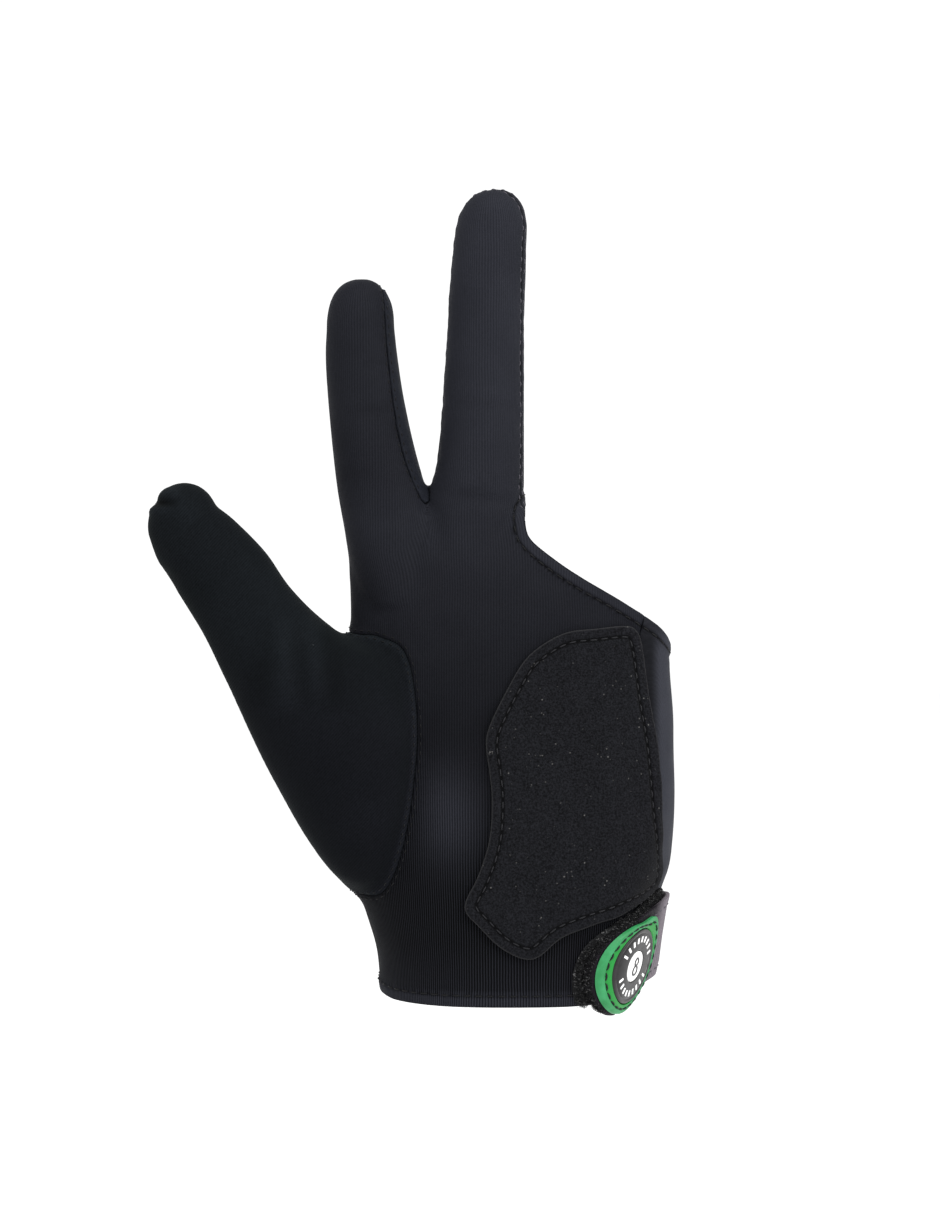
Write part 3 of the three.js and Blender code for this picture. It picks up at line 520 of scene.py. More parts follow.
class Surface:
    """Triangles, with the values of each point in named arrays."""

    def __init__(self, points, triangles, values):
        self.points, self.triangles, self.values = points, triangles, values

    def cut(self, name, above=True):
        """The part where a value is above zero, or below it."""
        field = self.values[name] if above else -self.values[name]
        field = np.where(field == 0, 1e-6, field)
        kept = field > 0
        edges, which = edges_of(self.triangles)
        crossed = kept[edges[:, 0]] != kept[edges[:, 1]]
        a, b = edges[crossed].T
        share = np.clip(field[a] / (field[a] - field[b]), 0.12, 0.88)
        new_index = np.full(len(edges), -1)
        new_index[crossed] = len(self.points) + np.arange(crossed.sum())

        def added(values):
            t = share if values.ndim == 1 else share[:, None]
            return np.concatenate([values, values[a] * (1 - t) + values[b] * t])

        inside_count = kept[self.triangles].sum(axis=1)
        made = [self.triangles[inside_count == 3]]
        for count in (1, 2):
            picked = np.nonzero(inside_count == count)[0]
            odd = kept[self.triangles[picked]] == (count == 1)
            turn = odd.argmax(axis=1)
            order = (turn[:, None] + np.arange(3)) % 3
            corner = np.take_along_axis(self.triangles[picked], order, axis=1)
            cuts = new_index[np.take_along_axis(which[picked], order, axis=1)]
            if count == 1:
                made.append(np.stack([corner[:, 0], cuts[:, 0], cuts[:, 2]], -1))
            else:
                made.append(np.stack([cuts[:, 0], corner[:, 1], corner[:, 2]], -1))
                made.append(np.stack([cuts[:, 0], corner[:, 2], cuts[:, 2]], -1))
        values = {key: added(value) for key, value in self.values.items()}
        return compact(added(self.points), np.concatenate(made), values)

    def refined(self, near):
        """Splits the long edges that lie near a line: near says how far each point is from it."""
        edges, which = edges_of(self.triangles)
        a, b = edges.T
        length = np.linalg.norm(self.points[a] - self.points[b], axis=1)
        split = (np.minimum(near[a], near[b]) < FINE_BAND) & (length > FINE_EDGE)
        middle = np.full(len(edges), -1)
        middle[split] = len(self.points) + np.arange(split.sum())
        points = np.concatenate([self.points, (self.points[a[split]] + self.points[b[split]]) / 2])
        count = split[which].sum(axis=1)
        made = [self.triangles[count == 0]]
        v0, v1, v2 = self.triangles[count == 3].T
        m0, m1, m2 = middle[which[count == 3]].T
        for corners in ((v0, m0, m2), (m0, v1, m1), (m2, m1, v2), (m0, m1, m2)):
            made.append(np.stack(corners, -1))
        for some in (1, 2):
            picked = np.nonzero(count == some)[0]
            turn = (split[which[picked]] == (some == 1)).argmax(axis=1) + (0 if some == 1 else 1)
            order = (turn[:, None] + np.arange(3)) % 3
            v0, v1, v2 = np.take_along_axis(self.triangles[picked], order, axis=1).T
            m0, m1, _ = middle[np.take_along_axis(which[picked], order, axis=1)].T
            parts = ((v0, m0, v2), (m0, v1, v2)) if some == 1 else ((m0, v1, m1), (v0, m0, m1), (v0, m1, v2))
            made += [np.stack(corners, -1) for corners in parts]
        return Surface(points, np.concatenate(made), {})

    def edge_pairs(self):
        """The edges that only one triangle has, in the order that its corners run."""
        corners = self.triangles[:, [0, 1, 1, 2, 2, 0]].reshape(-1, 2)
        _, which = edges_of(self.triangles)
        uses = np.bincount(which.ravel())
        return corners[uses[which.ravel()] == 1]

    def main_part(self):
        """Without the crumbs that a cut leaves."""
        label = np.arange(len(self.points))
        edges, _ = edges_of(self.triangles)
        while True:
            low = np.minimum(label[edges[:, 0]], label[edges[:, 1]])
            new = label.copy()
            np.minimum.at(new, edges[:, 0], low)
            np.minimum.at(new, edges[:, 1], low)
            new = new[new]
            if (new == label).all():
                break
            label = new
        biggest = np.bincount(label[self.triangles[:, 0]]).argmax()
        return compact(self.points, self.triangles[label[self.triangles[:, 0]] == biggest], self.values)


def distance_to(points, places):
    """How far each point is from the nearest of some places."""
    if len(places) == 0:
        return np.full(len(points), FAR)
    tree = KDTree(len(places))
    for i, place in enumerate(places):
        tree.insert(place, i)
    tree.balance()
    return np.array([tree.find(p)[2] for p in points])


def hand_skin():
    """The outside of the glove as one closed surface."""
    shells = [
        level_shell(PALM, PALM_POWER, PALM_SIDES, PALM_TOP),
        level_shell(INDEX, FINGER_POWER, FINGER_SIDES, INDEX_TOP),
        level_shell(MIDDLE, FINGER_POWER, FINGER_SIDES, MIDDLE_TOP),
        thumb_shell(),
    ]
    points, triangles = united(shells)
    points = smoothed(points, triangles, SKIN_ROUNDS)
    by_thumb = smoothstep(WEB_WIDTH, WEB_FULL, np.abs(regions(points)["thumb"]))
    return smoothed(points, triangles, WEB_ROUNDS, by_thumb, TAUBIN[:1]), triangles


def worn(points, normal, values):
    """Swells the ball of the thumb and the fingers a little, and presses the folds in. Also the painted light and shade
    along the folds.
    """
    x, _, z = points.T
    palm_side = smoothstep(*PALM_SIDE, -normal[:, 1])
    facing = smoothstep(*FACING_PALM, -normal[:, 1])
    lift = LOBE_RAISED * smoothstep(0, LOBE_WIDTH, values["thumb"]) * smoothstep(*LOBE_FADES, z) * facing
    by_side = smoothstep(*SIDE_FULLER_X, x)
    lift += SIDE_FULLER * by_side * smoothstep(*SIDE_FULLER_FROM, z) * smoothstep(*SIDE_FULLER_FADES, z)
    lift += FINGERS_FULLER * smoothstep(*FINGERS_FROM, z) * smoothstep(*BESIDE_THUMB, x)
    light = np.zeros(len(points))
    for from_x, from_z, to_x, to_z, width, depth, lighter in zip(*FOLDS.values()):
        way_x, way_z = to_x - from_x, to_z - from_z
        share = ((x - from_x) * way_x + (z - from_z) * way_z) / (way_x**2 + way_z**2)
        near = np.clip(share, 0, 1)
        apart = np.hypot(x - from_x - near * way_x, z - from_z - near * way_z) / width
        shown = palm_side * np.exp(-(apart**2)) * (4 * near * (1 - near)) ** FOLD_TAPER
        lift -= depth * (1 - apart**2) * shown
        # Painted light and shade along each fold.
        light += lighter * shown
    return points + normal * lift[:, None], light


def panels():
    """The cloth panels and the pad's region, cut from the skin along the seams."""
    points, triangles = hand_skin()
    whole = Surface(points, triangles, {})
    for _ in range(2):
        whole.values = regions(whole.points)
        near = np.min([np.abs(value) for value in whole.values.values()], axis=0)
        whole = whole.refined(near)
    whole.values = regions(whole.points)
    normal = point_normals(whole.points, whole.triangles)
    whole.points, whole.values["light"] = worn(whole.points, normal, whole.values)
    whole.values["normal"] = point_normals(whole.points, whole.triangles)
    shell = whole.cut("side").cut("wrist")
    hand = shell.cut("thumb", above=False)
    rest = hand.cut("gusset", above=False)
    return {
        "palm_panel": rest.cut("back", above=False).main_part(),
        "back_panel": rest.cut("back").main_part(),
        "thumb": shell.cut("thumb").main_part(),
        "finger_gusset": hand.cut("gusset").main_part(),
        "palm_pad": whole.cut("pad").main_part(),
    }


# Pieces as Blender objects


def built(name, points, triangles, material, values=None):
    """A Blender object that rides on the glove's body. Points are in millimetres."""
    mesh = bpy.data.meshes.new(name)
    mesh.from_pydata(points * MM, [], triangles.tolist())
    for key, value in (values or {}).items():
        mesh.attributes.new(key, "FLOAT", "POINT").data.foreach_set("value", np.asarray(value, np.float32))
    mesh.shade_smooth()
    mesh.set_sharp_from_angle(angle=SHARP_ANGLE)
    mesh.materials.append(material)
    piece = bpy.data.objects.new(name, mesh)
    bpy.context.scene.collection.objects.link(piece)
    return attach(piece, "root")


def outwards(points, triangles):
    """Turns the triangles of a closed shell so that they face out."""
    a, b, c = (points[triangles[:, k]] for k in range(3))
    volume = (a * np.cross(b, c)).sum()
    return points, triangles if volume > 0 else triangles[:, ::-1]


def closed_sheet(surface, height, depth):
    """A sheet between two heights over a surface, with rims: its points and triangles."""
    normal = surface.values["normal"]
    outer = surface.points + normal * height[:, None]
    inner = surface.points + normal * np.reshape(depth, (-1, 1))
    count = len(outer)
    a, b = surface.edge_pairs().T
    rims = [np.stack([b, a, a + count], -1), np.stack([b, a + count, b + count], -1)]
    triangles = np.concatenate([surface.triangles, surface.triangles[:, ::-1] + count, *rims])
    return np.concatenate([outer, inner]), triangles


def rolled(distance, radius, depth):
    """How far an edge turns in, from its full depth at the edge to nothing at a radius from it."""
    t = np.clip(1 - distance / radius, 0, 1)
    return -depth * (1 - np.sqrt(1 - t**2))


def groove(distance, at, width, depth):
    """A soft groove this far from an edge."""
    return -depth * np.exp(-(((distance - at) / width) ** 2))


def ripples(points, wavelength, seed, waves=7):
    """A smooth random height between about -1 and 1."""
    rng = np.random.default_rng(seed)
    ways = unit(rng.normal(size=(waves, 3))) * 2 * np.pi / (wavelength * rng.uniform(0.75, 1.4, (waves, 1)))
    return np.sin(points @ ways.T + rng.uniform(0, 2 * np.pi, waves)).sum(axis=1) / math.sqrt(waves)


# Stitches


def contour(surface, height, value, level):
    """The lines on a raised surface where a value is at a level. Each is its points with their normals."""
    edges, which = edges_of(surface.triangles)
    a, b = edges.T
    above = value > level
    crossed = above[a] != above[b]
    share = np.where(crossed, (level - value[a]) / np.where(crossed, value[b] - value[a], 1), 0)[:, None]
    normal = surface.values["normal"]
    raised = surface.points + normal * height[:, None]
    place = raised[a] * (1 - share) + raised[b] * share
    facing = unit(normal[a] * (1 - share) + normal[b] * share)
    links = {}
    for row in which[crossed[which].sum(axis=1) == 2]:
        first, second = (int(edge) for edge in row if crossed[edge])
        links.setdefault(first, []).append(second)
        links.setdefault(second, []).append(first)
    starts = [edge for edge, others in links.items() if len(others) == 1] + list(links)
    seen, lines = set(), []
    for start in starts:
        if start in seen:
            continue
        line, here = [], start
        while here is not None:
            line.append(here)
            seen.add(here)
            here = next((edge for edge in links[here] if edge not in seen), None)
        if start in links[line[-1]] and len(line) > 2:
            line.append(start)
        lines.append((place[line], facing[line]))
    return lines


def spaced(line, pitch):
    """Places a pitch apart along a line, with the direction along it and the normal."""
    place, normal = line
    along = np.concatenate([[0], np.cumsum(np.linalg.norm(np.diff(place, axis=0), axis=1))])
    if along[-1] < 2 * pitch:
        return None
    count = int(along[-1] / pitch)
    at = (np.arange(count) + 0.5) * along[-1] / count

    def pick(values, where):
        return np.stack([np.interp(where, along, values[:, k]) for k in range(3)], -1)

    reach = pitch / 3
    way = unit(pick(place, at + reach) - pick(place, at - reach))
    return pick(place, at), way, unit(pick(normal, at))


STITCH_SHARES, STITCH_SIDES = (-1.0, -0.82, -0.45, 0.0, 0.45, 0.82, 1.0), 6
STITCH_PLUMP, STITCH_ARCH, STITCH_SUNK = 1.06, 1.15, 0.5


def stitch_shapes(place, way, normal, length, width, rise):
    """A plump thread bridge at each place, with its ends sunk in the cloth."""
    share = np.array(STITCH_SHARES)
    turn = np.linspace(0, 2 * np.pi, STITCH_SIDES, endpoint=False)
    plump = np.sqrt(np.clip(STITCH_PLUMP - share**2, 0, 1)) * width / 2
    side = unit(np.cross(normal, way))
    centre = (
        place[:, None]
        + way[:, None] * (share * length / 2)[:, None]
        + normal[:, None] * (rise * (STITCH_ARCH * (1 - share**2) - STITCH_SUNK))[:, None]
    )
    ring = centre[:, :, None] + plump[:, None, None] * (
        side[:, None, None] * np.cos(turn)[:, None] + normal[:, None, None] * np.sin(turn)[:, None]
    )
    return joined([outwards(*loft(one)) for one in ring])


def stitched(lines, kind):
    """Rows of one kind of stitch along lines, apart from lines too short for it."""
    pitch, *size = STITCHES[kind]
    rows = [spaced(line, pitch) for line in lines]
    return joined([stitch_shapes(*row, *size) for row in rows if row is not None])


# Pieces that lie round the wrist. Their places are measured from the little-finger side, forwards to the palm.


def wrap(around, z, out):
    """Points on the palm form, found by their way round, height and distance out."""
    around, z, out = np.broadcast_arrays(*(np.asarray(v, float) for v in (around, z, out)))
    shape = around.shape
    around, z, out = around.ravel(), z.ravel(), out.ravel()
    turn = np.where(around < 0, -1.0, 1.0)[:, None] * np.linspace(0, np.pi, WRAP_STEPS + 1)
    rings = pressed(section(*level_edges(PALM, z, out), PALM_POWER, turn), out[:, None])
    length = np.cumsum(np.linalg.norm(np.diff(rings, axis=1), axis=2), axis=1)
    length = np.concatenate([np.zeros((len(z), 1)), length], axis=1)
    want = np.abs(around)
    i = np.clip((length <= want[:, None]).sum(axis=1) - 1, 0, WRAP_STEPS - 1)
    row = np.arange(len(z))
    t = np.clip((want - length[row, i]) / (length[row, i + 1] - length[row, i]), 0, 1)[:, None]
    return (rings[row, i] * (1 - t) + rings[row, i + 1] * t).reshape(*shape, 3)


# Wrist fastener

STRAP_START, STRAP_WIDTH, STRAP_SIDE_HEIGHT = -34.0, 21.0, 12.9
TAB_AROUND, TAB_HEIGHT, TAB_RADIUS = 17.2, 5.8, 11.8
TAB_BEND_FROM, TAB_BEND_POWER = -4.0, 1.35
STRAP_RISES_FROM, STRAP_RISES_TO = -12.0, 0.0
STANDS_OFF, STANDS_OFF_AROUND, STANDS_OFF_REACH, STANDS_OFF_Z = 1.8, -3.0, 5.2, (20.0, 6.0)
TAB_WIDENS_FROM = 2.0
RUBBER_RADIUS, RUBBER_TAIL, RUBBER_LOWER_RISE = 11.4, 12.6, 0.35
CORNER_TURN, CORNER_REACH, CORNER_UP = math.radians(130), 0.38, 1.9
BADGE_CENTRE = np.array([15.6, 6.3])
BADGE_RADIUS, SPOT_RADIUS = 9.5, 3.9
LOOP_OUTLINE = table(
    "x z", (1, 23.5), (8.5, 22.4), (17.4, 19.2), (21.5, 17.6), (25.1, 15.2), (28.2, 12), (29.7, 8), (29.9, 3.8),
    (28.9, 0), (27, -2.6), (19, -1.4), (8, 0.4), (1, 1.8),
)
LOOP_CENTRE = np.array([17.0, 8.0])
TALL_PILE_WIDTH = 1.2
EDGE_FUZZ_TURN, EDGE_FUZZ_COUNT = (-1.05, 2.2), 1500
TAB_CENTRE = np.array([TAB_AROUND, TAB_HEIGHT])
RUBBER_FLOOR = 3.1
STRAP_EDGE_POWER = 9.0
NARROW_RING = 3.0
RUBBER_STITCH_IN = 1.55
RUBBER_GROOVE = ((-0.5, 0.0), (-0.25, 0.12), (0.0, 0.3), (0.25, 0.12), (0.5, 0.0))
BADGE_GROOVE = ((0.9, 0.0), (1.1, -0.12), (1.3, 0.0))
BADGE_GAP, SPOT_GAP = 0.2, 0.15
BADGE_ABOVE, SPOT_ABOVE = 0.05, 0.1
LOOP_ROUNDING, RUBBER_ROUNDING, BADGE_ROUNDING, SPOT_ROUNDING = 0.3, 0.35, 0.3, 0.25
STRAP_STITCH_IN, STRAP_GROOVE, STRAP_STITCHES_TO = 2.3, (0.35, 0.16), 8.0
STRAP_CROWDING, STRAP_END = 1.6, 0.9995
FULL_LAST, HOLE_LAST, UNDERSIDE_SHARES = 0.97, 0.92, (0.33, 0.66)

# Loops of the fuzzy patch: by the tab or away from it, how many at most, and the span of their radii

PILE_BATCHES = ((False, 4600, (0.3, 0.72)), (True, 1500, (0.7, 1.15)))
PILE_BOX, PILE_TRIES, PILE_INSET = ([0, -3], [31, 25]), 24000, 0.1
PILE_THICK, PILE_LEAN, PILE_SUNK, PILE_TALLER = 0.09, 0.45, 0.25, 1.25
BASE_SHARE, PILE_ROOT_SHARE = 0.75, 0.55
EDGE_FUZZ_SIZE, EDGE_FUZZ_INSET = (0.25, 0.6), 0.15


def strap_height(around):
    t = np.clip((np.minimum(around, TAB_AROUND) - TAB_BEND_FROM) / (TAB_AROUND - TAB_BEND_FROM), 0, None)
    return STRAP_SIDE_HEIGHT + (TAB_HEIGHT - STRAP_SIDE_HEIGHT) * t**TAB_BEND_POWER


def strap_lift(around, z):
    """How far the strap is from the cloth. It rises over the fuzzy patch and stands off a little at the side."""
    near = np.exp(-(((around - STANDS_OFF_AROUND) / STANDS_OFF_REACH) ** 2))
    rise = smoothstep(STRAP_RISES_FROM, STRAP_RISES_TO, around) * (LOOP_PILE + GAP)
    return GAP + rise + STANDS_OFF * smoothstep(*STANDS_OFF_Z, z) * near


def strap_half_width(around):
    beyond = np.clip(around - TAB_AROUND, 0, TAB_RADIUS)
    widening = smoothstep(TAB_WIDENS_FROM, TAB_AROUND, around)
    return np.where(
        around > TAB_AROUND,
        np.sqrt(TAB_RADIUS**2 - beyond**2),
        STRAP_WIDTH / 2 + (TAB_RADIUS - STRAP_WIDTH / 2) * widening,
    )


def strap_band(stations=150, sides=44):
    """The strap and its round tab: points, triangles, and how far round the wrist each point is."""
    length = TAB_AROUND + TAB_RADIUS - STRAP_START
    share = 1 - (1 - np.linspace(0, 1, stations)) ** STRAP_CROWDING
    around = (STRAP_START + length * share * STRAP_END)[:, None]
    turn = np.linspace(0, 2 * np.pi, sides, endpoint=False)
    c, s = np.cos(turn), np.sin(turn)
    across = np.sign(c) * np.abs(c) ** (2 / STRAP_EDGE_POWER)
    above = np.sign(s) * np.abs(s) ** (2 / STRAP_EDGE_POWER)
    half = strap_half_width(around)
    inset = half * (1 - np.abs(across))
    inset = np.minimum(inset, around - STRAP_START)
    mark = groove(inset, STRAP_STITCH_IN, *STRAP_GROOVE) * (above > 0.5)
    z = strap_height(around) + half * across
    rings = wrap(around, z, strap_lift(around, z) + STRAP / 2 * (1 + above) + mark)
    points, triangles = outwards(*loft(rings))
    along = np.append(np.broadcast_to(around, inset.shape).ravel(), [STRAP_START, TAB_AROUND + TAB_RADIUS])
    return points, triangles, along


def patch(outline, centre, low, high, rounding, marks=(), hole=None, rings=9):
    """A piece that lies round the wrist between two heights, with a rounded rim, and a hole if one is given.

    With a hole it also gives each point's place, as its way round and its height on the wrist."""
    target = centre if hole is None else hole
    way = target - outline
    reach = np.linalg.norm(way, axis=1, keepdims=True)
    way = way / reach
    squeeze = np.minimum(reach / NARROW_RING, 1)
    turn = np.linspace(0, np.pi / 2, 5)
    rim = [(rounding * (1 - math.cos(t)), high - rounding * (1 - math.sin(t))) for t in turn]
    rim = [(0.0, low)] + rim
    faces = [(outline + way * inset, out) for inset, out in rim]
    faces += [(outline + way * inset * squeeze, high + change) for inset, change in marks]
    start = marks[-1][0] * squeeze if marks else rounding
    last = FULL_LAST if hole is None else HOLE_LAST
    inner_rim = 0 if hole is None else rounding
    for share in np.linspace(0, last, rings + 1)[1:]:
        distance = start + (reach - start - inner_rim) * share
        faces.append((outline + way * distance, high))
    if hole is None:
        faces = [(outline + way * reach * share, low) for share in np.linspace(last, 0, rings + 1)[:-1]] + faces
        return outwards(*loft(np.array([wrap(p[:, 0], p[:, 1], out) for p, out in faces])))
    faces += [(hole - way * inset, out) for inset, out in reversed(rim)]
    faces += [(hole - way * reach * share, low) for share in UNDERSIDE_SHARES]
    points, triangles = outwards(*closed_loft(np.array([wrap(p[:, 0], p[:, 1], out) for p, out in faces])))
    return points, triangles, np.concatenate([p for p, _ in faces])


def closed_loft(rings):
    """A ring of rings, such as a washer."""
    count, sides = rings.shape[:2]
    k, i = np.meshgrid(np.arange(count), np.arange(sides), indexing="ij")
    a, b = k * sides + i, k * sides + (i + 1) % sides
    c, d = (k + 1) % count * sides + (i + 1) % sides, (k + 1) % count * sides + i
    triangles = np.concatenate([np.stack([a, b, c], -1).reshape(-1, 3), np.stack([a, c, d], -1).reshape(-1, 3)])
    return rings.reshape(-1, 3), triangles


def circle(centre, radius, sides=96):
    """Places on a circle on the unrolled wrist."""
    turn = np.linspace(0, 2 * np.pi, sides, endpoint=False)
    return centre + radius * np.stack([np.cos(turn), np.sin(turn)], -1)


def rubber_outline(radius=RUBBER_RADIUS, sides=96):
    """It follows the tab's round end and runs out to a tail round the side."""
    turn = np.linspace(0, 2 * np.pi, sides, endpoint=False)
    backwards = np.maximum(-np.cos(turn), 0)
    around = TAB_AROUND + radius * np.cos(turn) - (RUBBER_TAIL - RUBBER_RADIUS) * backwards
    share = RUBBER_LOWER_RISE + (1 - RUBBER_LOWER_RISE) * np.maximum(np.sin(turn), 0)
    rise = (strap_height(around) - TAB_HEIGHT) * backwards * share
    corner = CORNER_UP * np.exp(-(((turn - CORNER_TURN) / CORNER_REACH) ** 2))
    return np.stack([around, TAB_HEIGHT + radius * np.sin(turn) + rise + corner], -1)


def ribbon(path, width, low, high, closed=False):
    """A raised line that lies round the wrist, along a path."""
    if closed:
        way = np.roll(path, -1, 0) - np.roll(path, 1, 0)
    else:
        way = np.gradient(path, axis=0)
    way = unit(way)
    side = np.stack([-way[:, 1], way[:, 0]], -1)
    round_off = min(width, high - low) * 0.3
    profile = [
        (-width / 2, low), (-width / 2, high - round_off), (-width / 2 + round_off, high),
        (width / 2 - round_off, high), (width / 2, high - round_off), (width / 2, low),
    ]
    rings = np.stack([wrap(*(path + side * across).T, out) for across, out in profile], axis=1)
    return outwards(*(closed_loft(rings) if closed else loft(rings)))


def on_wrist(around, z, out, above):
    """Places at a distance out, with the ways from there to a larger distance."""
    place = wrap(around, z, out)
    return place, unit(wrap(around, z, above) - place)


def pile(place, normal, seed, size):
    """A small thread loop standing at each place."""
    rng = np.random.default_rng(seed)
    count = len(place)
    lean = unit(normal + rng.normal(0, PILE_LEAN, (count, 3)))
    side = unit(np.cross(lean, rng.normal(size=(count, 3))))
    radius = rng.uniform(*size, (count, 1, 1))
    turn = np.linspace(-PILE_SUNK, np.pi + PILE_SUNK, 5)[:, None]
    curve = place[:, None] + radius * (side[:, None] * np.cos(turn) + lean[:, None] * (np.sin(turn) * PILE_TALLER))
    outward = unit(side[:, None] * np.cos(turn) + lean[:, None] * np.sin(turn))
    beside = np.cross(side, lean)[:, None]
    angles = np.linspace(0, 2 * np.pi, 3, endpoint=False)[:, None]
    ring = curve[:, :, None] + PILE_THICK / 2 * (
        outward[:, :, None] * np.cos(angles) + beside[:, :, None] * np.sin(angles)
    )
    loops = ring.reshape(count, -1, 3)
    _, triangles = outwards(*loft(ring[0]))
    ends = ring[:, [0, -1]].mean(axis=2)
    loops = np.concatenate([loops, ends], axis=1)
    step = loops.shape[1]
    return loops.reshape(-1, 3), (triangles[None] + (np.arange(count) * step)[:, None, None]).reshape(-1, 3)


# Materials


# Dark and light colours of each material

COLOURS = {
    "ribbed_knit": ((0.0072, 0.0078, 0.0108), (0.046, 0.048, 0.062)),
    "smooth_knit": ((0.0085, 0.0088, 0.0108), (0.043, 0.045, 0.057)),
    "gusset_knit": ((0.0085, 0.0098, 0.0135), (0.051, 0.056, 0.075)),
    "thumb_knit": ((0.001, 0.0013, 0.0018), (0.0112, 0.0138, 0.0168)),
    "suede": ((0.0006, 0.0006, 0.0009), (0.0104, 0.0108, 0.0132)),
    "loop_pile": ((0.0012, 0.0012, 0.0014), (0.013, 0.0135, 0.0145)),
    "elastic": ((0.001, 0.0006, 0.0014), (0.009, 0.006, 0.0105)),
    # The elastic as lit round the side: painted light.
    "elastic_lit_at_side": ((0.05, 0.042, 0.052), (0.2, 0.175, 0.2)),
    "green_rubber": ((0.018, 0.175, 0.052), (0.03, 0.235, 0.085)),
    "black_rubber": ((0.006, 0.0058, 0.006), (0.014, 0.0135, 0.014)),
    "white_rubber": ((0.78, 0.78, 0.77), (0.86, 0.86, 0.85)),
    "black_ink": ((0.006, 0.006, 0.007), (0.012, 0.012, 0.013)),
    "black_thread": ((0.002, 0.002, 0.0026), (0.018, 0.018, 0.021)),
    "dark_thread": ((0.0006, 0.0006, 0.0008), (0.005, 0.005, 0.006)),
    "grey_thread": ((0.02, 0.018, 0.024), (0.09, 0.085, 0.1)),
    "floor": ((0.95, 0.95, 0.95), (0.97, 0.97, 0.97)),
}
BLACK = (0, 0, 0)
LOW_THUMB = (0.0108, 0.0117, 0.0158)
GREEN_WITHIN_STITCHES = (0.006, 0.19, 0.026)
THUMB_LINT, SUEDE_LINT, FUZZY_LINT = (0.2, 0.21, 0.21), (0.075, 0.073, 0.07), (0.12, 0.12, 0.12)
SUEDE_EDGE, SUEDE_SEWN = (0.026, 0.026, 0.0275), (0.0006, 0.0006, 0.0008)


class Finish:
    """A node material in the making, round one Principled shader."""

    def __init__(self, name, roughness, **constants):
        self.material = bpy.data.materials.new(name)
        self.material.use_nodes = True
        self.tree = self.material.node_tree
        self.shader = self.tree.nodes["Principled BSDF"]
        self.shader.inputs["Roughness"].default_value = roughness
        for socket, value in constants.items():
            self.shader.inputs[socket.replace("_", " ")].default_value = value
        self.place = self.node("TexCoord").outputs["Object"]

    def node(self, kind, inputs=None, **settings):
        node = self.tree.nodes.new("ShaderNode" + kind)
        for key, value in settings.items():
            setattr(node, key, value)
        for key, value in (inputs or {}).items():
            self.set(node.inputs[key], value)
        return node

    def set(self, socket, value):
        if isinstance(value, bpy.types.NodeSocket):
            self.tree.links.new(value, socket)
        else:
            socket.default_value = value

    def math(self, operation, a, b=0.0):
        return self.node("Math", {0: a, 1: b}, operation=operation).outputs[0]

    def plus(self, a, b):
        return self.math("ADD", a, b)

    def times(self, a, b):
        return self.math("MULTIPLY", a, b)

    def value(self, name):
        """A value that the mesh holds at its points."""
        return self.node("Attribute", attribute_name=name).outputs["Fac"]

    def axes(self):
        """Object coordinates in millimetres."""
        parts = self.node("SeparateXYZ", {0: self.place}).outputs
        return [self.times(parts[axis], 1 / MM) for axis in "XYZ"]

    def noise(self, size, detail=3.0, stretch=(1, 1, 1)):
        """Noise from 0 to 1 with blotches about this many millimetres across."""
        scaled = self.node("Mapping", {"Vector": self.place, "Scale": [s / (size * MM) for s in stretch]})
        made = self.node("TexNoise", {"Vector": scaled.outputs[0], "Scale": 1.0, "Detail": detail})
        return made.outputs[0]

    def cells(self, size):
        """How far each place is from the nearest of some scattered points."""
        return self.node("TexVoronoi", {"Vector": self.place, "Scale": 1 / (size * MM)}).outputs["Distance"]

    def wave(self, along, pitch):
        """From 0 to 1 and back for each pitch."""
        return self.math("MULTIPLY_ADD", self.math("SINE", self.times(along, 2 * math.pi / pitch)), 0.5)

    def eased(self, value, low, high, to_low=0.0, to_high=1.0):
        made = self.node(
            "MapRange",
            {"Value": value, "From Min": low, "From Max": high, "To Min": to_low, "To Max": to_high},
            interpolation_type="SMOOTHSTEP",
        )
        return made.outputs[0]

    def mixed(self, share, a, b):
        made = self.node("Mix", {"Factor": share}, data_type="RGBA")
        for socket, colour in ((made.inputs[6], a), (made.inputs[7], b)):
            self.set(socket, colour if isinstance(colour, bpy.types.NodeSocket) else (*colour, 1))
        return made.outputs[2]

    def bumped(self, height, distance, strength=1.0, before=None):
        """Adds a height pattern, this many millimetres high."""
        inputs = {"Height": height, "Distance": distance * MM, "Strength": strength}
        if before is not None:
            inputs["Normal"] = before
        return self.node("Bump", inputs).outputs[0]

    def done(self, colour, normal=None, roughness=None):
        self.set(self.shader.inputs["Base Color"], colour)
        if normal is not None:
            self.set(self.shader.inputs["Normal"], normal)
        if roughness is not None:
            self.set(self.shader.inputs["Roughness"], roughness)
        return self.material


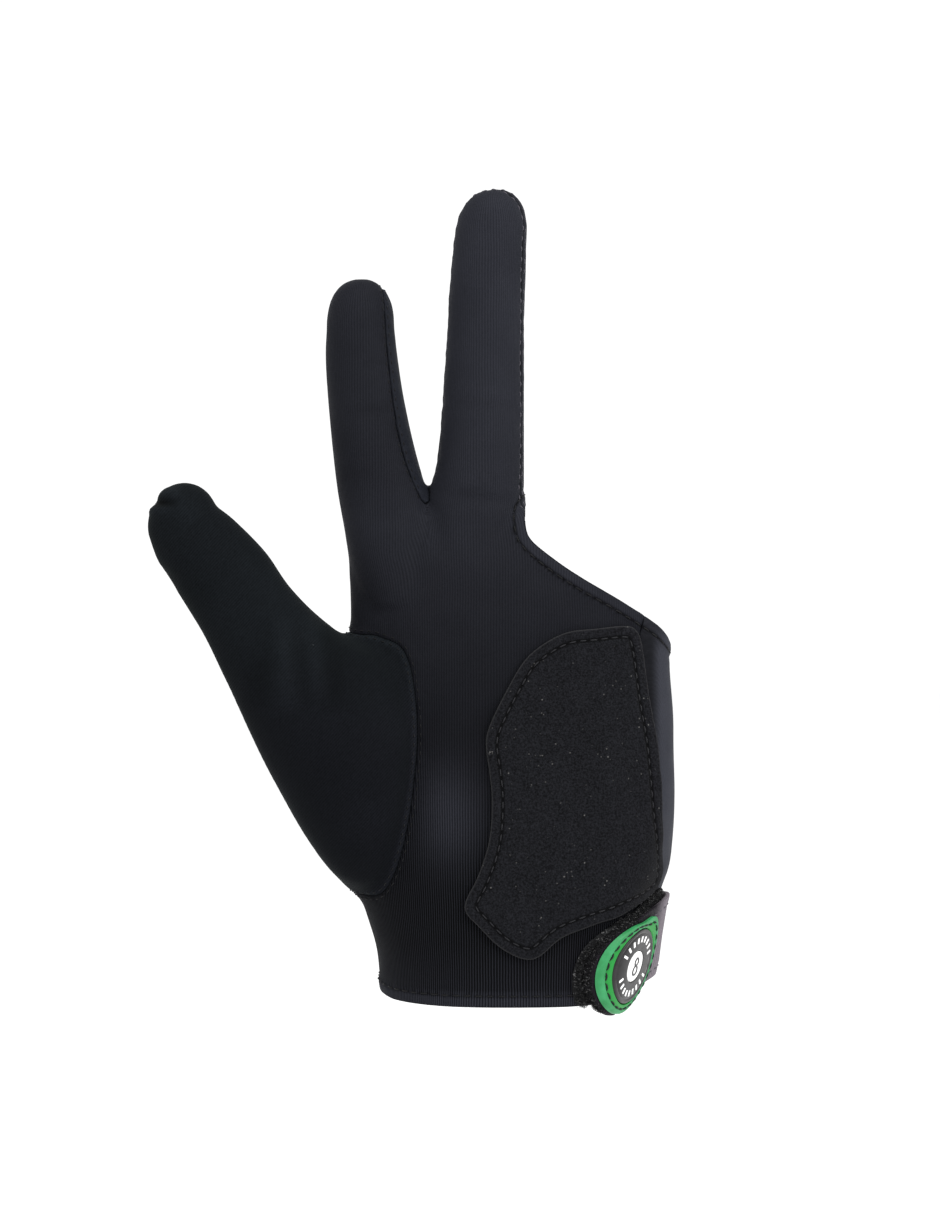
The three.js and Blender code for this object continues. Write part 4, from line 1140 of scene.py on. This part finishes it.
def knit(name, pitch, depth, roughness, ribbed, course=0.45, crest_highlight=0.0):
    """Ribs that run up the glove, each a column of small knitted loops. They are stronger near the wrist, where their
    crests get a painted highlight. The cloth is scaled by its painted light tone and darkened by painted shade along
    its seams and hem stitch line.
    """
    cloth = Finish(
        name, roughness, Specular_IOR_Level=0.03, Sheen_Weight=0.012, Sheen_Roughness=0.4, Sheen_Tint=(0.8, 0.85, 1, 1),
    )
    dark, light = COLOURS[name]
    up = cloth.axes()[2]
    wobble = cloth.times(cloth.noise(9.0), 0.5)
    around = cloth.plus(cloth.value("around"), wobble)
    rib = cloth.wave(around, pitch)
    loops = cloth.wave(cloth.plus(up, cloth.times(rib, 0.3)), course)
    ribs = cloth.times(cloth.math("SUBTRACT", rib, 0.5), cloth.eased(up, 10.0, 95.0, *ribbed))
    height = cloth.plus(cloth.plus(ribs, 0.42), cloth.times(loops, 0.2))
    grain = cloth.noise(0.5, 2.0)
    shade = cloth.times(cloth.plus(height, cloth.times(grain, 0.5)), 0.62)
    shade = cloth.times(shade, cloth.eased(cloth.noise(14.0), 0.25, 0.8, 0.85, 1.12))
    # Scaled by the painted light and shade of each point.
    colour = cloth.mixed(cloth.value("tone"), BLACK, cloth.mixed(shade, dark, light))
    # Painted highlight on the rib crests near the wrist.
    crest_highlight_mask = cloth.times(cloth.eased(rib, 0.62, 1.0), cloth.eased(up, 8.0, 70.0, crest_highlight, 0.0))
    colour = cloth.mixed(crest_highlight_mask, colour, [c * 0.62 for c in light])
    # Painted shade along the seams and the hem's stitch line.
    colour = cloth.mixed(cloth.eased(cloth.value("seam"), 0.0, 0.55, 0.75, 0.0), colour, [c * 0.1 for c in dark])
    normal = cloth.bumped(height, depth)
    normal = cloth.bumped(grain, depth * 0.6, 0.6, normal)
    return cloth.done(colour, normal, cloth.eased(cloth.noise(6.0), 0.3, 0.75, roughness - 0.04, roughness + 0.07))


def twill(name, light_low, pitch, depth, roughness):
    """A matt cloth with faint slanted lines and a few specks of lint. Its tint changes a little down the glove. It is
    scaled by its painted light tone and darkened by painted shade along its seam.
    """
    cloth = Finish(
        name, roughness, Specular_IOR_Level=0.03, Sheen_Weight=0.012, Sheen_Roughness=0.5, Sheen_Tint=(0.8, 1, 0.92, 1),
    )
    dark, light = COLOURS[name]
    x, _, z = cloth.axes()
    slant = cloth.math("SUBTRACT", cloth.times(z, 0.9), x)
    line = cloth.wave(slant, pitch)
    grain = cloth.noise(0.55, 2.0)
    shade = cloth.plus(cloth.times(line, 0.35), cloth.times(grain, 0.65))
    shade = cloth.times(shade, cloth.eased(cloth.noise(18.0), 0.25, 0.8, 0.8, 1.1))
    tint = cloth.mixed(cloth.eased(z, 62.0, 92.0), light_low, light)
    # Scaled by the painted light and shade of each point.
    colour = cloth.mixed(cloth.value("tone"), BLACK, cloth.mixed(shade, dark, tint))
    # Painted shade along the seam.
    colour = cloth.mixed(cloth.eased(cloth.value("seam"), 0.0, 0.5, 0.7, 0.0), colour, [c * 0.1 for c in dark])
    lint = cloth.eased(cloth.cells(3.1), 0.055, 0.035)
    rare = cloth.math("GREATER_THAN", cloth.noise(4.3, 1.0), 0.7)
    colour = cloth.mixed(cloth.times(lint, rare), colour, THUMB_LINT)
    normal = cloth.bumped(line, depth)
    normal = cloth.bumped(grain, depth, 0.7, normal)
    return cloth.done(colour, normal)


def suede():
    """Brushed leather with specks of lint, paler at its cut edge and dark along its stitches."""
    cloth = Finish(
        "suede", 0.92, Specular_IOR_Level=0.03, Sheen_Weight=0.02, Sheen_Roughness=0.6, Sheen_Tint=(1, 0.97, 0.93, 1),
    )
    nap = cloth.eased(cloth.noise(0.45, 4.0), 0.28, 0.74)
    brushed = cloth.noise(7.0, 3.0, (1.6, 1, 1))
    shade = cloth.plus(cloth.times(nap, 0.75), cloth.times(brushed, 0.3))
    colour = cloth.mixed(shade, *COLOURS["suede"])
    speck = cloth.eased(cloth.cells(1.15), 0.24, 0.1)
    some = cloth.eased(cloth.noise(2.3, 2.0), 0.56, 0.7)
    colour = cloth.mixed(cloth.times(speck, some), colour, SUEDE_LINT)
    edge = cloth.value("seam")
    colour = cloth.mixed(cloth.eased(edge, 0.0, 0.5, 0.7, 0.0), colour, SUEDE_EDGE)
    sewn = cloth.eased(cloth.math("ABSOLUTE", cloth.math("SUBTRACT", edge, PAD_STITCH_IN)), 0.2, 0.75, 0.85, 0.0)
    colour = cloth.mixed(sewn, colour, SUEDE_SEWN)
    normal = cloth.bumped(nap, 0.09)
    normal = cloth.bumped(cloth.noise(1.3, 3.0), 0.12, 0.7, normal)
    return cloth.done(colour, normal)


def fuzzy():
    """The loop side of the fastener, with lint in it."""
    cloth = Finish("loop_pile", 0.7, Specular_IOR_Level=0.12, Sheen_Weight=0.03, Sheen_Roughness=0.4)
    tuft = cloth.noise(0.6, 4.0)
    colour = cloth.mixed(cloth.eased(tuft, 0.35, 0.75), *COLOURS["loop_pile"])
    lint = cloth.eased(cloth.noise(0.55, 1.0), 0.62, 0.7)
    colour = cloth.mixed(cloth.times(lint, 0.8), colour, FUZZY_LINT)
    return cloth.done(colour, cloth.bumped(tuft, 0.2))


def elastic():
    """Ribbed elastic, dark by the tab, and with painted light making it paler round the side."""
    cloth = Finish("elastic", 0.62, Specular_IOR_Level=0.1, Sheen_Weight=0.04, Sheen_Roughness=0.4)
    along = cloth.value("around")
    rib = cloth.wave(along, 0.85)
    grain = cloth.noise(0.4, 2.0)
    shade = cloth.plus(cloth.times(rib, 0.45), cloth.times(grain, 0.55))
    by_tab = cloth.mixed(shade, *COLOURS["elastic"])
    # A lit copy of the elastic: painted light round the side.
    lit_round_side = cloth.mixed(shade, *COLOURS["elastic_lit_at_side"])
    colour = cloth.mixed(cloth.eased(along, 1.0, 8.0), lit_round_side, by_tab)
    normal = cloth.bumped(rib, 0.08)
    return cloth.done(colour, cloth.bumped(grain, 0.05, 0.7, normal))


def rubber(name, roughness, coat=0.0, fleck=0.02, specular=0.4, within=None):
    """Moulded rubber, a little mottled and scuffed, with another colour within its stitches if one is given."""
    body = Finish(name, roughness, Specular_IOR_Level=specular, Coat_Weight=coat, Coat_Roughness=0.12)
    mottle = body.noise(3.0, 4.0)
    grain = body.noise(0.35, 2.0)
    colour = body.mixed(body.eased(mottle, 0.3, 0.75), *COLOURS[name])
    if within:
        share = body.eased(body.value("inset"), RUBBER_STITCH_IN - 0.2, RUBBER_STITCH_IN + 0.1)
        colour = body.mixed(share, colour, within)
    scuff = body.eased(body.noise(2.2, 5.0, (1, 1, 3)), 0.62, 0.75)
    return body.done(
        colour, body.bumped(grain, fleck), body.plus(body.times(scuff, 0.15), roughness)
    )


def thread(name):
    strand = Finish(name, 0.6, Specular_IOR_Level=0.15, Sheen_Weight=0.05, Sheen_Roughness=0.3)
    twist = strand.noise(0.25, 2.0)
    return strand.done(strand.mixed(twist, *COLOURS[name]), strand.bumped(twist, 0.04))


def make_materials():
    return {
        "palm_panel": knit("ribbed_knit", 0.74, 0.1, 0.6, (1.3, 0.45), crest_highlight=0.32),
        "back_panel": knit("smooth_knit", 0.4, 0.03, 0.55, (0.2, 0.2), course=0.4),
        "finger_gusset": knit("gusset_knit", 0.5, 0.05, 0.58, (0.5, 0.5)),
        "thumb": twill("thumb_knit", LOW_THUMB, 0.8, 0.03, 0.8),
        "palm_pad": suede(),
        "loop_patch": fuzzy(),
        "wrist_strap": elastic(),
        "tab_patch": rubber("green_rubber", 0.45, specular=0.25, within=GREEN_WITHIN_STITCHES),
        "badge_disc": rubber("black_rubber", 0.34, coat=0.1, fleck=0.008, specular=0.26),
        "number_spot": rubber("white_rubber", 0.35, coat=0.3, fleck=0.008),
        "thread": thread("black_thread"),
        "dark_thread": thread("dark_thread"),
        "pale_thread": thread("grey_thread"),
        "ink": rubber("black_ink", 0.3, coat=0.3, fleck=0.004),
    }


# The glove's pieces

EDGE_TOUCH = 0.15
RIBS_PART, RIBS_BEND, BACK_RIBS_BEND = (106.0, 134.0), 1.1, 1.7
INDEX_SEAM_TO_X = -23.0
BETWEEN_FINGERS = ((-27.0, 126.0), (-10.0, 230.0))
THUMB_SEAM_DEPTH, THUMB_SEAM_SHADE = 0.55, 3.6
CORNER_SEAM_FLAT, CORNER_SEAM_SHADE = 0.7, 4.0
CORNER_BOX = ((28.0, 70.0), (50.0, 100.0))
CORNER_FROM_X, CORNER_FROM_Z = (28.0, 33.0), (72.0, 79.0)
BETWEEN_FINGER_SEAMS = ((INDEX_SEAM_TO_X, 0), (FAR, 2 * FAR))


def behind(rows, points, facing_palm):
    """How far back from the front of a form each point lies, below zero to the left of its middle."""
    x, y, z = points.T
    left, right, front, back = level_edges(rows, z)
    depth = y - left[:, 1] + front if facing_palm else left[:, 1] + back - y
    side = (2 * x - left[:, 0] - right[:, 0]) / (0.5 * (right[:, 0] - left[:, 0]))
    return np.maximum(depth, 0) * np.clip(side, -1, 1)


def around_form(points, facing_palm):
    """Where each point lies across the ribs. The ribs of the palm run on into those of the two fingers."""
    x, _, z = points.T
    between = (column(MIDDLE, "z", "left", z) + column(INDEX, "z", "right", z)) / 2
    finger = np.where(x < between, behind(INDEX, points, facing_palm), behind(MIDDLE, points, facing_palm))
    share = smoothstep(*RIBS_PART, z)
    bend = RIBS_BEND if facing_palm else BACK_RIBS_BEND
    return x + bend * (behind(PALM, points, facing_palm) * (1 - share) + finger * share)


def knit_painted_light(surface, away):
    """How light the knit is painted at each point: painted light and shade by height, on the index finger, in the
    palm's hollow, at the side and along the folds, with a lighter hem band and painted shade along its stitch line.
    """
    x, y, z = surface.points.T
    # Painted light: the knit grows lighter up the glove towards the fingertips, as if nearer the overhead lamp.
    tone = np.interp(z, PAINTED_LIGHT_BY_HEIGHT["z"], PAINTED_LIGHT_BY_HEIGHT["tone"])
    # Painted shade: the index finger is darker, away from the light on the right.
    tone *= 1 - (1 - INDEX_PAINTED_SHADE) * smoothstep(*INDEX_TONE_X, x) * smoothstep(*INDEX_TONE_FROM, z)
    # Painted highlight in the hollow of the palm.
    across, up = (x - HOLLOW_PLACE[0]) / HOLLOW_SIZE[0], (z - HOLLOW_PLACE[1]) / HOLLOW_SIZE[1]
    tone += HOLLOW_PAINTED_HIGHLIGHT * np.exp(-(across**2) - up**2) * (y < 0)
    tone += (BACK_TONE - tone) * smoothstep(*BACK_TONE_DEPTH, y) * smoothstep(*BACK_TONE_FADES, z)
    # Painted light on the little-finger side, where the key lamp grazes it.
    at_side = smoothstep(*SIDE_TONE_FROM, x) * smoothstep(*SIDE_TONE_DEPTH, y)
    tone += SIDE_PAINTED_LIGHT * at_side * smoothstep(*SIDE_TONE_FADES, z)
    hem_tone = SLANT_HEM_TONE + (HEM_TONE - SLANT_HEM_TONE) * smoothstep(*HEM_TONE_UP_TO, z)
    tone += hem_tone * smoothstep(HEM_WIDTH + HEM_TONE_BLEND, HEM_WIDTH - HEM_TONE_BLEND, away["hem"])
    # Painted shade along the hem's stitch groove.
    tone *= 1 - HEM_LINE_DARK * np.exp(-(((away["hem"] - HEM_STITCH_IN) / HEM_LINE_WIDTH) ** 2))
    return np.clip(tone * (1 + surface.values["light"]), 0, 1)


def thumb_painted_light(surface, away):
    """How light the thumb's cloth is painted, with painted light and shade along its folds. Its rolled seam catches a
    little painted light.
    """
    tone = THUMB_TONE * (1 + surface.values["light"])
    by_seam = np.exp(-(((away["thumb"] - SEAM_TONE_IN) / SEAM_TONE_WIDTH) ** 2))
    return np.clip(tone + SEAM_TONE * by_seam, 0, 1)


def edge_distances(surface):
    """How far each point is from the edge, and from the part of the edge on each line."""
    edge = np.unique(surface.edge_pairs())
    made = {"edge": distance_to(surface.points, surface.points[edge])}
    for name in ("thumb", "gusset", "back", "side", "wrist"):
        on_line = edge[np.abs(surface.values[name][edge]) < EDGE_TOUCH]
        made[name] = distance_to(surface.points, surface.points[on_line])
    made["hem"] = np.minimum(made["side"], made["wrist"])
    made["sewn"] = np.min([made[name] for name in ("thumb", "gusset", "back")], axis=0)
    return made


def at_corner(points):
    """1 by the corner of the slanted hem, where the side seam lies flat."""
    return smoothstep(*CORNER_FROM_X, points[:, 0]) * smoothstep(*CORNER_FROM_Z, points[:, 2])


def panel_height(surface, away, seed):
    """How far the outside stands out from the form: rolled seams, raised hems and puckers."""
    points = surface.points
    share = np.where(away["thumb"] > away["sewn"], 1, THUMB_SEAM_DEPTH)
    height = rolled(away["sewn"], ROLL_RADIUS, ROLL_DEPTH) * share
    height *= 1 - CORNER_SEAM_FLAT * at_corner(points)
    height += HEM_RAISED * smoothstep(*HEM_RISES, away["hem"])
    height += rolled(away["hem"], *HEM_ROLL)
    height += groove(away["hem"], HEM_STITCH_IN, *HEM_GROOVE)
    pull = np.exp(-((away["sewn"] / SEAM_PUCKER_WIDTH) ** 2)) * SEAM_PUCKER
    pull += np.exp(-(((away["hem"] - HEM_PUCKER_IN) / HEM_PUCKER_WIDTH) ** 2)) * HEM_PUCKER
    height += pull * ripples(points, PUCKER_WAVE, seed)
    return height + SWELL * ripples(points, SWELL_WAVE, seed + 1)


def make_panels(materials):
    """The cloth pieces and the pad, and the rows of stitches on them."""
    pieces, stitches = {}, {}
    for seed, (name, surface) in enumerate(panels().items()):
        if name == "palm_pad":
            pieces[name] = make_pad(surface, materials, stitches)
            continue
        away = edge_distances(surface)
        height = panel_height(surface, away, 10 * seed)
        points, triangles = closed_sheet(surface, height, -CLOTH)
        at_thumb = away["thumb"] <= away["sewn"] + 0.01
        tone = thumb_painted_light(surface, away) if name == "thumb" else knit_painted_light(surface, away)
        # Painted shade along the seams, softer by the thumb seam and the hem corner, and a painted shade line on the
        # hem's stitch groove.
        softer = np.where(at_thumb, THUMB_SEAM_SHADE, 1) * (1 + CORNER_SEAM_SHADE * at_corner(surface.points))
        hem_line = HEM_LINE_SHADE + np.abs(away["hem"] - HEM_STITCH_IN)
        values = {"seam": np.minimum(away["edge"] * softer, hem_line), "tone": tone}
        if name != "thumb":
            values["around"] = around_form(surface.points, name != "back_panel")
        if name == "finger_gusset":
            values["around"] = BACK_RIBS_BEND * surface.points[:, 1]
        values = {key: np.tile(value, 2) for key, value in values.items()}
        pieces[name] = built(name + "_cloth", points, triangles, materials[name], values)
        stitches.update(panel_stitches(name, surface, height, away))
    return pieces, stitches


def outside_box(lines, low, high):
    """The runs of lines that lie outside a box in x and z."""
    made = []
    for place, normal in lines:
        within = (place[:, [0, 2]] > low).all(axis=1) & (place[:, [0, 2]] < high).all(axis=1)
        for run in np.split(np.arange(len(place)), np.nonzero(np.diff(within))[0] + 1):
            if not within[run[0]] and len(run) > 1:
                made.append((place[run], normal[run]))
    return made


def panel_stitches(name, surface, height, away):
    """The rows of stitches on a cloth piece, by piece, row and thread."""

    def lines_on(line, inset):
        return contour(surface, height, away[line], inset)

    made = {}
    if name in ("palm_panel", "back_panel"):
        lines = lines_on("wrist", HEM_STITCH_IN) + lines_on("side", HEM_STITCH_IN)
        made[name, "hem_stitches", "dark_thread"] = stitched(lines, "hem")
        lines = outside_box(outside_box(lines_on("back", BACK_SEAM_STITCH_IN), *BETWEEN_FINGERS), *CORNER_BOX)
        made[name, "seam_stitches", "pale_thread"] = stitched(lines, "back_seam")
    if name in ("palm_panel", "thumb"):
        made[name, "thumb_seam_stitches", "dark_thread"] = stitched(lines_on("thumb", SEAM_STITCH_IN), "thumb_seam")
    if name in ("palm_panel", "finger_gusset"):
        lines = outside_box(lines_on("gusset", SEAM_STITCH_IN), *BETWEEN_FINGER_SEAMS)
        made[name, "gusset_seam_stitches", "dark_thread"] = stitched(lines, "gusset_seam")
    return made


def make_pad(surface, materials, stitches):
    """A flat cut piece of suede, sewn on with one row of stitches a little inside its edge."""
    away = distance_to(surface.points, surface.points[np.unique(surface.edge_pairs())])
    height = GAP + SUEDE + rolled(away, *PAD_ROLL) + groove(away, PAD_STITCH_IN, *PAD_GROOVE)
    height += 0.1 * ripples(surface.points, 11.0, 71)
    height += 0.14 * smoothstep(4.0, 0.5, away) * ripples(surface.points, 7.0, 72)
    points, triangles = closed_sheet(surface, height, GAP - 0.05)
    lines = contour(surface, height, away, PAD_STITCH_IN)
    stitches["palm_pad", "stitches", "thread"] = stitched(lines, "pad")
    return built("palm_pad_suede", points, triangles, materials["palm_pad"], {"seam": np.tile(away, 2)})


def edge_fuzz():
    """Loops of the fuzzy side that stand out all along the tab's cut edge."""
    rng = np.random.default_rng(12)
    turn = rng.uniform(*EDGE_FUZZ_TURN, EDGE_FUZZ_COUNT)
    way = np.stack([np.cos(turn), np.sin(turn)], -1)
    edge = TAB_CENTRE + way * (TAB_RADIUS - EDGE_FUZZ_INSET)
    low = strap_lift(*edge.T)
    out = low + rng.uniform(0.05, STRAP * 0.92, EDGE_FUZZ_COUNT)
    place = wrap(*edge.T, out)
    return pile(place, unit(wrap(*(edge + way).T, out) - place), 13, EDGE_FUZZ_SIZE)


def make_fastener(materials):
    """The strap round the wrist, its fuzzy patch, and what is moulded on its tab."""
    pieces = {}
    loop_outline = smooth_line(LOOP_OUTLINE, 9, closed=True)
    points, triangles = patch(loop_outline, LOOP_CENTRE, GAP, GAP + LOOP_PILE * BASE_SHARE, LOOP_ROUNDING)
    rng = np.random.default_rng(5)
    tries = rng.uniform(*PILE_BOX, (PILE_TRIES, 2))
    depth = inside(loop_outline, *tries.T)
    under_tab = inside(rubber_outline(TAB_RADIUS + 0.3), *tries.T)
    by_tab = under_tab > -TALL_PILE_WIDTH
    fuzz = []
    for batch, (tall, most, size) in enumerate(PILE_BATCHES):
        chosen = tries[(depth > PILE_INSET) & (under_tab < 0) & (by_tab == tall)][:most]
        root = on_wrist(*chosen.T, GAP + LOOP_PILE * PILE_ROOT_SHARE, GAP + LOOP_PILE + 1.0)
        fuzz.append(pile(*root, 6 + batch, size))
    pieces["loop_patch"] = built("loop_patch_base", points, triangles, materials["loop_patch"])
    made = {("loop_patch", "pile", "loop_patch"): joined(fuzz)}
    made["wrist_strap", "edge_fuzz", "loop_patch"] = edge_fuzz()

    points, triangles, along = strap_band()
    pieces["wrist_strap"] = built("wrist_strap_band", points, triangles, materials["wrist_strap"], {"around": along})
    around = np.linspace(STRAP_START + STRAP_STITCH_IN, STRAP_STITCHES_TO, 60)
    rows = []
    for side in (-1, 1):
        z = strap_height(around) + side * (strap_half_width(around) - STRAP_STITCH_IN)
        face = strap_lift(around, z) + STRAP
        rows.append(on_wrist(around, z, face - 0.12, face + 1.0))
    made["wrist_strap", "stitches", "pale_thread"] = stitched(rows, "strap")

    outline = rubber_outline()
    hole = circle(BADGE_CENTRE, BADGE_RADIUS + BADGE_GAP)
    marks = [(RUBBER_STITCH_IN + beside, -depth) for beside, depth in RUBBER_GROOVE]
    high = RUBBER_FLOOR + RUBBER
    points, triangles, places = patch(outline, TAB_CENTRE, RUBBER_FLOOR, high, RUBBER_ROUNDING, marks, hole, 3)
    values = {"inset": inside(outline, *places.T)}
    pieces["tab_patch"] = built("tab_patch_rubber", points, triangles, materials["tab_patch"], values)
    way = hole - outline
    reach = np.linalg.norm(way, axis=1, keepdims=True)
    line = outline + way / reach * RUBBER_STITCH_IN * np.minimum(reach / NARROW_RING, 1)
    round_line = np.concatenate([line, line[:1]]).T
    made["tab_patch", "stitches", "thread"] = stitched([on_wrist(*round_line, high - 0.1, high + 0.9)], "rubber")

    disc = circle(BADGE_CENTRE, BADGE_RADIUS)
    ring = circle(BADGE_CENTRE, SPOT_RADIUS + SPOT_GAP)
    top = high + BADGE_ABOVE
    points, triangles, _ = patch(disc, BADGE_CENTRE, RUBBER_FLOOR, top, BADGE_ROUNDING, BADGE_GROOVE, ring, 4)
    pieces["badge_disc"] = built("badge_disc_face", points, triangles, materials["badge_disc"])
    spot = circle(BADGE_CENTRE, SPOT_RADIUS, 72)
    points, triangles = patch(spot, BADGE_CENTRE, RUBBER_FLOOR, high + SPOT_ABOVE, SPOT_ROUNDING)
    pieces["number_spot"] = built("number_spot_face", points, triangles, materials["number_spot"])
    return pieces, made


NUMERAL_HEIGHTS, NUMERAL_RADII, NUMERAL_STROKE = (1.12, -1.1), (0.92, 1.16), 0.52
TICK_ARCS = ((25, 155), (205, 335))
TICKS_EACH = 9
TICK_RADIUS, TICK_LENGTH, TICK_WIDTH = 6.9, 1.5, 0.6


def make_badge_marks(materials):
    """A plain number 8 on the spot, and two arcs of plain ticks round it."""
    face = RUBBER_FLOOR + RUBBER + SPOT_ABOVE
    rings = [
        ribbon(circle(BADGE_CENTRE + (0, height), radius, 40), NUMERAL_STROKE, face - 0.1, face + 0.16, closed=True)
        for height, radius in zip(NUMERAL_HEIGHTS, NUMERAL_RADII)
    ]
    built("numeral_eight", *joined(rings), materials["ink"])
    ticks = []
    for start, end in TICK_ARCS:
        for angle in np.radians(np.linspace(start, end, TICKS_EACH)):
            way = np.array([math.cos(angle), math.sin(angle)])
            reach = np.linspace(-TICK_LENGTH / 2, TICK_LENGTH / 2, 4)[:, None]
            ticks.append(ribbon(BADGE_CENTRE + way * (TICK_RADIUS + reach), TICK_WIDTH, face - 0.12, face + 0.08))
    built("badge_ticks", *joined(ticks), materials["number_spot"])


# Floor, light and camera

CAMERA_PLACE = (-10.14, -700.0, 97.76)
CAMERA_VIEW_HEIGHT = 315.9
SENSOR = 36.0
FLOOR_HEIGHT, FLOOR_REACH = -92.0, 6.0
WORLD_LIGHT = 1.08

# Each lamp: its place, what it points at, its size and its power

LIGHTS = (
    ("overhead", (0.02, -0.38, 0.75), (-0.01, 0.0, 0.15), 0.35, 3.5),
    ("key", (0.65, -0.55, 0.45), (0.0, 0.0, 0.1), 0.5, 4.5),
    ("fill", (-0.75, -0.60, 0.30), (-0.02, 0.0, 0.09), 0.7, 1.0),
)


def make_stage():
    """A pale floor, three lamps and an even light all round."""
    mesh = bpy.data.meshes.new("floor")
    corners = [(x * FLOOR_REACH, y * FLOOR_REACH, FLOOR_HEIGHT * MM) for x, y in ((-1, -1), (1, -1), (1, 1), (-1, 1))]
    mesh.from_pydata(corners, [], [(0, 1, 2, 3)])
    floor = bpy.data.objects.new("floor", mesh)
    bpy.context.scene.collection.objects.link(floor)
    paint = Finish("pale_floor", 0.9, Specular_IOR_Level=0.2)
    mesh.materials.append(paint.done(paint.mixed(paint.noise(60.0), *COLOURS["floor"])))
    for name, place, target, size, power in LIGHTS:
        lamp = bpy.data.lights.new(name, "AREA")
        lamp.shape, lamp.size, lamp.energy = "DISK", size, power
        holder = bpy.data.objects.new(name, lamp)
        holder.location = place
        holder.rotation_euler = (Vector(target) - Vector(place)).to_track_quat("-Z", "Y").to_euler()
        bpy.context.scene.collection.objects.link(holder)
    world = bpy.data.worlds.new("studio")
    world.use_nodes = True
    world.node_tree.nodes["Background"].inputs["Color"].default_value = (1, 1, 1, 1)
    world.node_tree.nodes["Background"].inputs["Strength"].default_value = WORLD_LIGHT
    bpy.context.scene.world = world
    bpy.context.scene.view_settings.view_transform = "Standard"


def make_camera():
    camera = bpy.data.cameras.new("camera")
    camera.sensor_width = SENSOR
    camera.lens = SENSOR * -CAMERA_PLACE[1] / CAMERA_VIEW_HEIGHT
    holder = bpy.data.objects.new("camera", camera)
    holder.location = np.array(CAMERA_PLACE) * MM
    holder.rotation_euler = (math.pi / 2, 0, 0)
    bpy.context.scene.collection.objects.link(holder)
    bpy.context.scene.camera = holder


def main():
    make_camera()
    make_stage()
    materials = make_materials()
    pieces, stitches = make_panels(materials)
    more_pieces, more_stitches = make_fastener(materials)
    pieces.update(more_pieces)
    stitches.update(more_stitches)
    for name, piece in pieces.items():
        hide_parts(name)
    rows = {name: [] for name in pieces}
    for (name, row, colour), (points, triangles) in stitches.items():
        rows[name].append(built(f"{name}_{row}", points, triangles, materials[colour]))
    make_badge_marks(materials)


main()
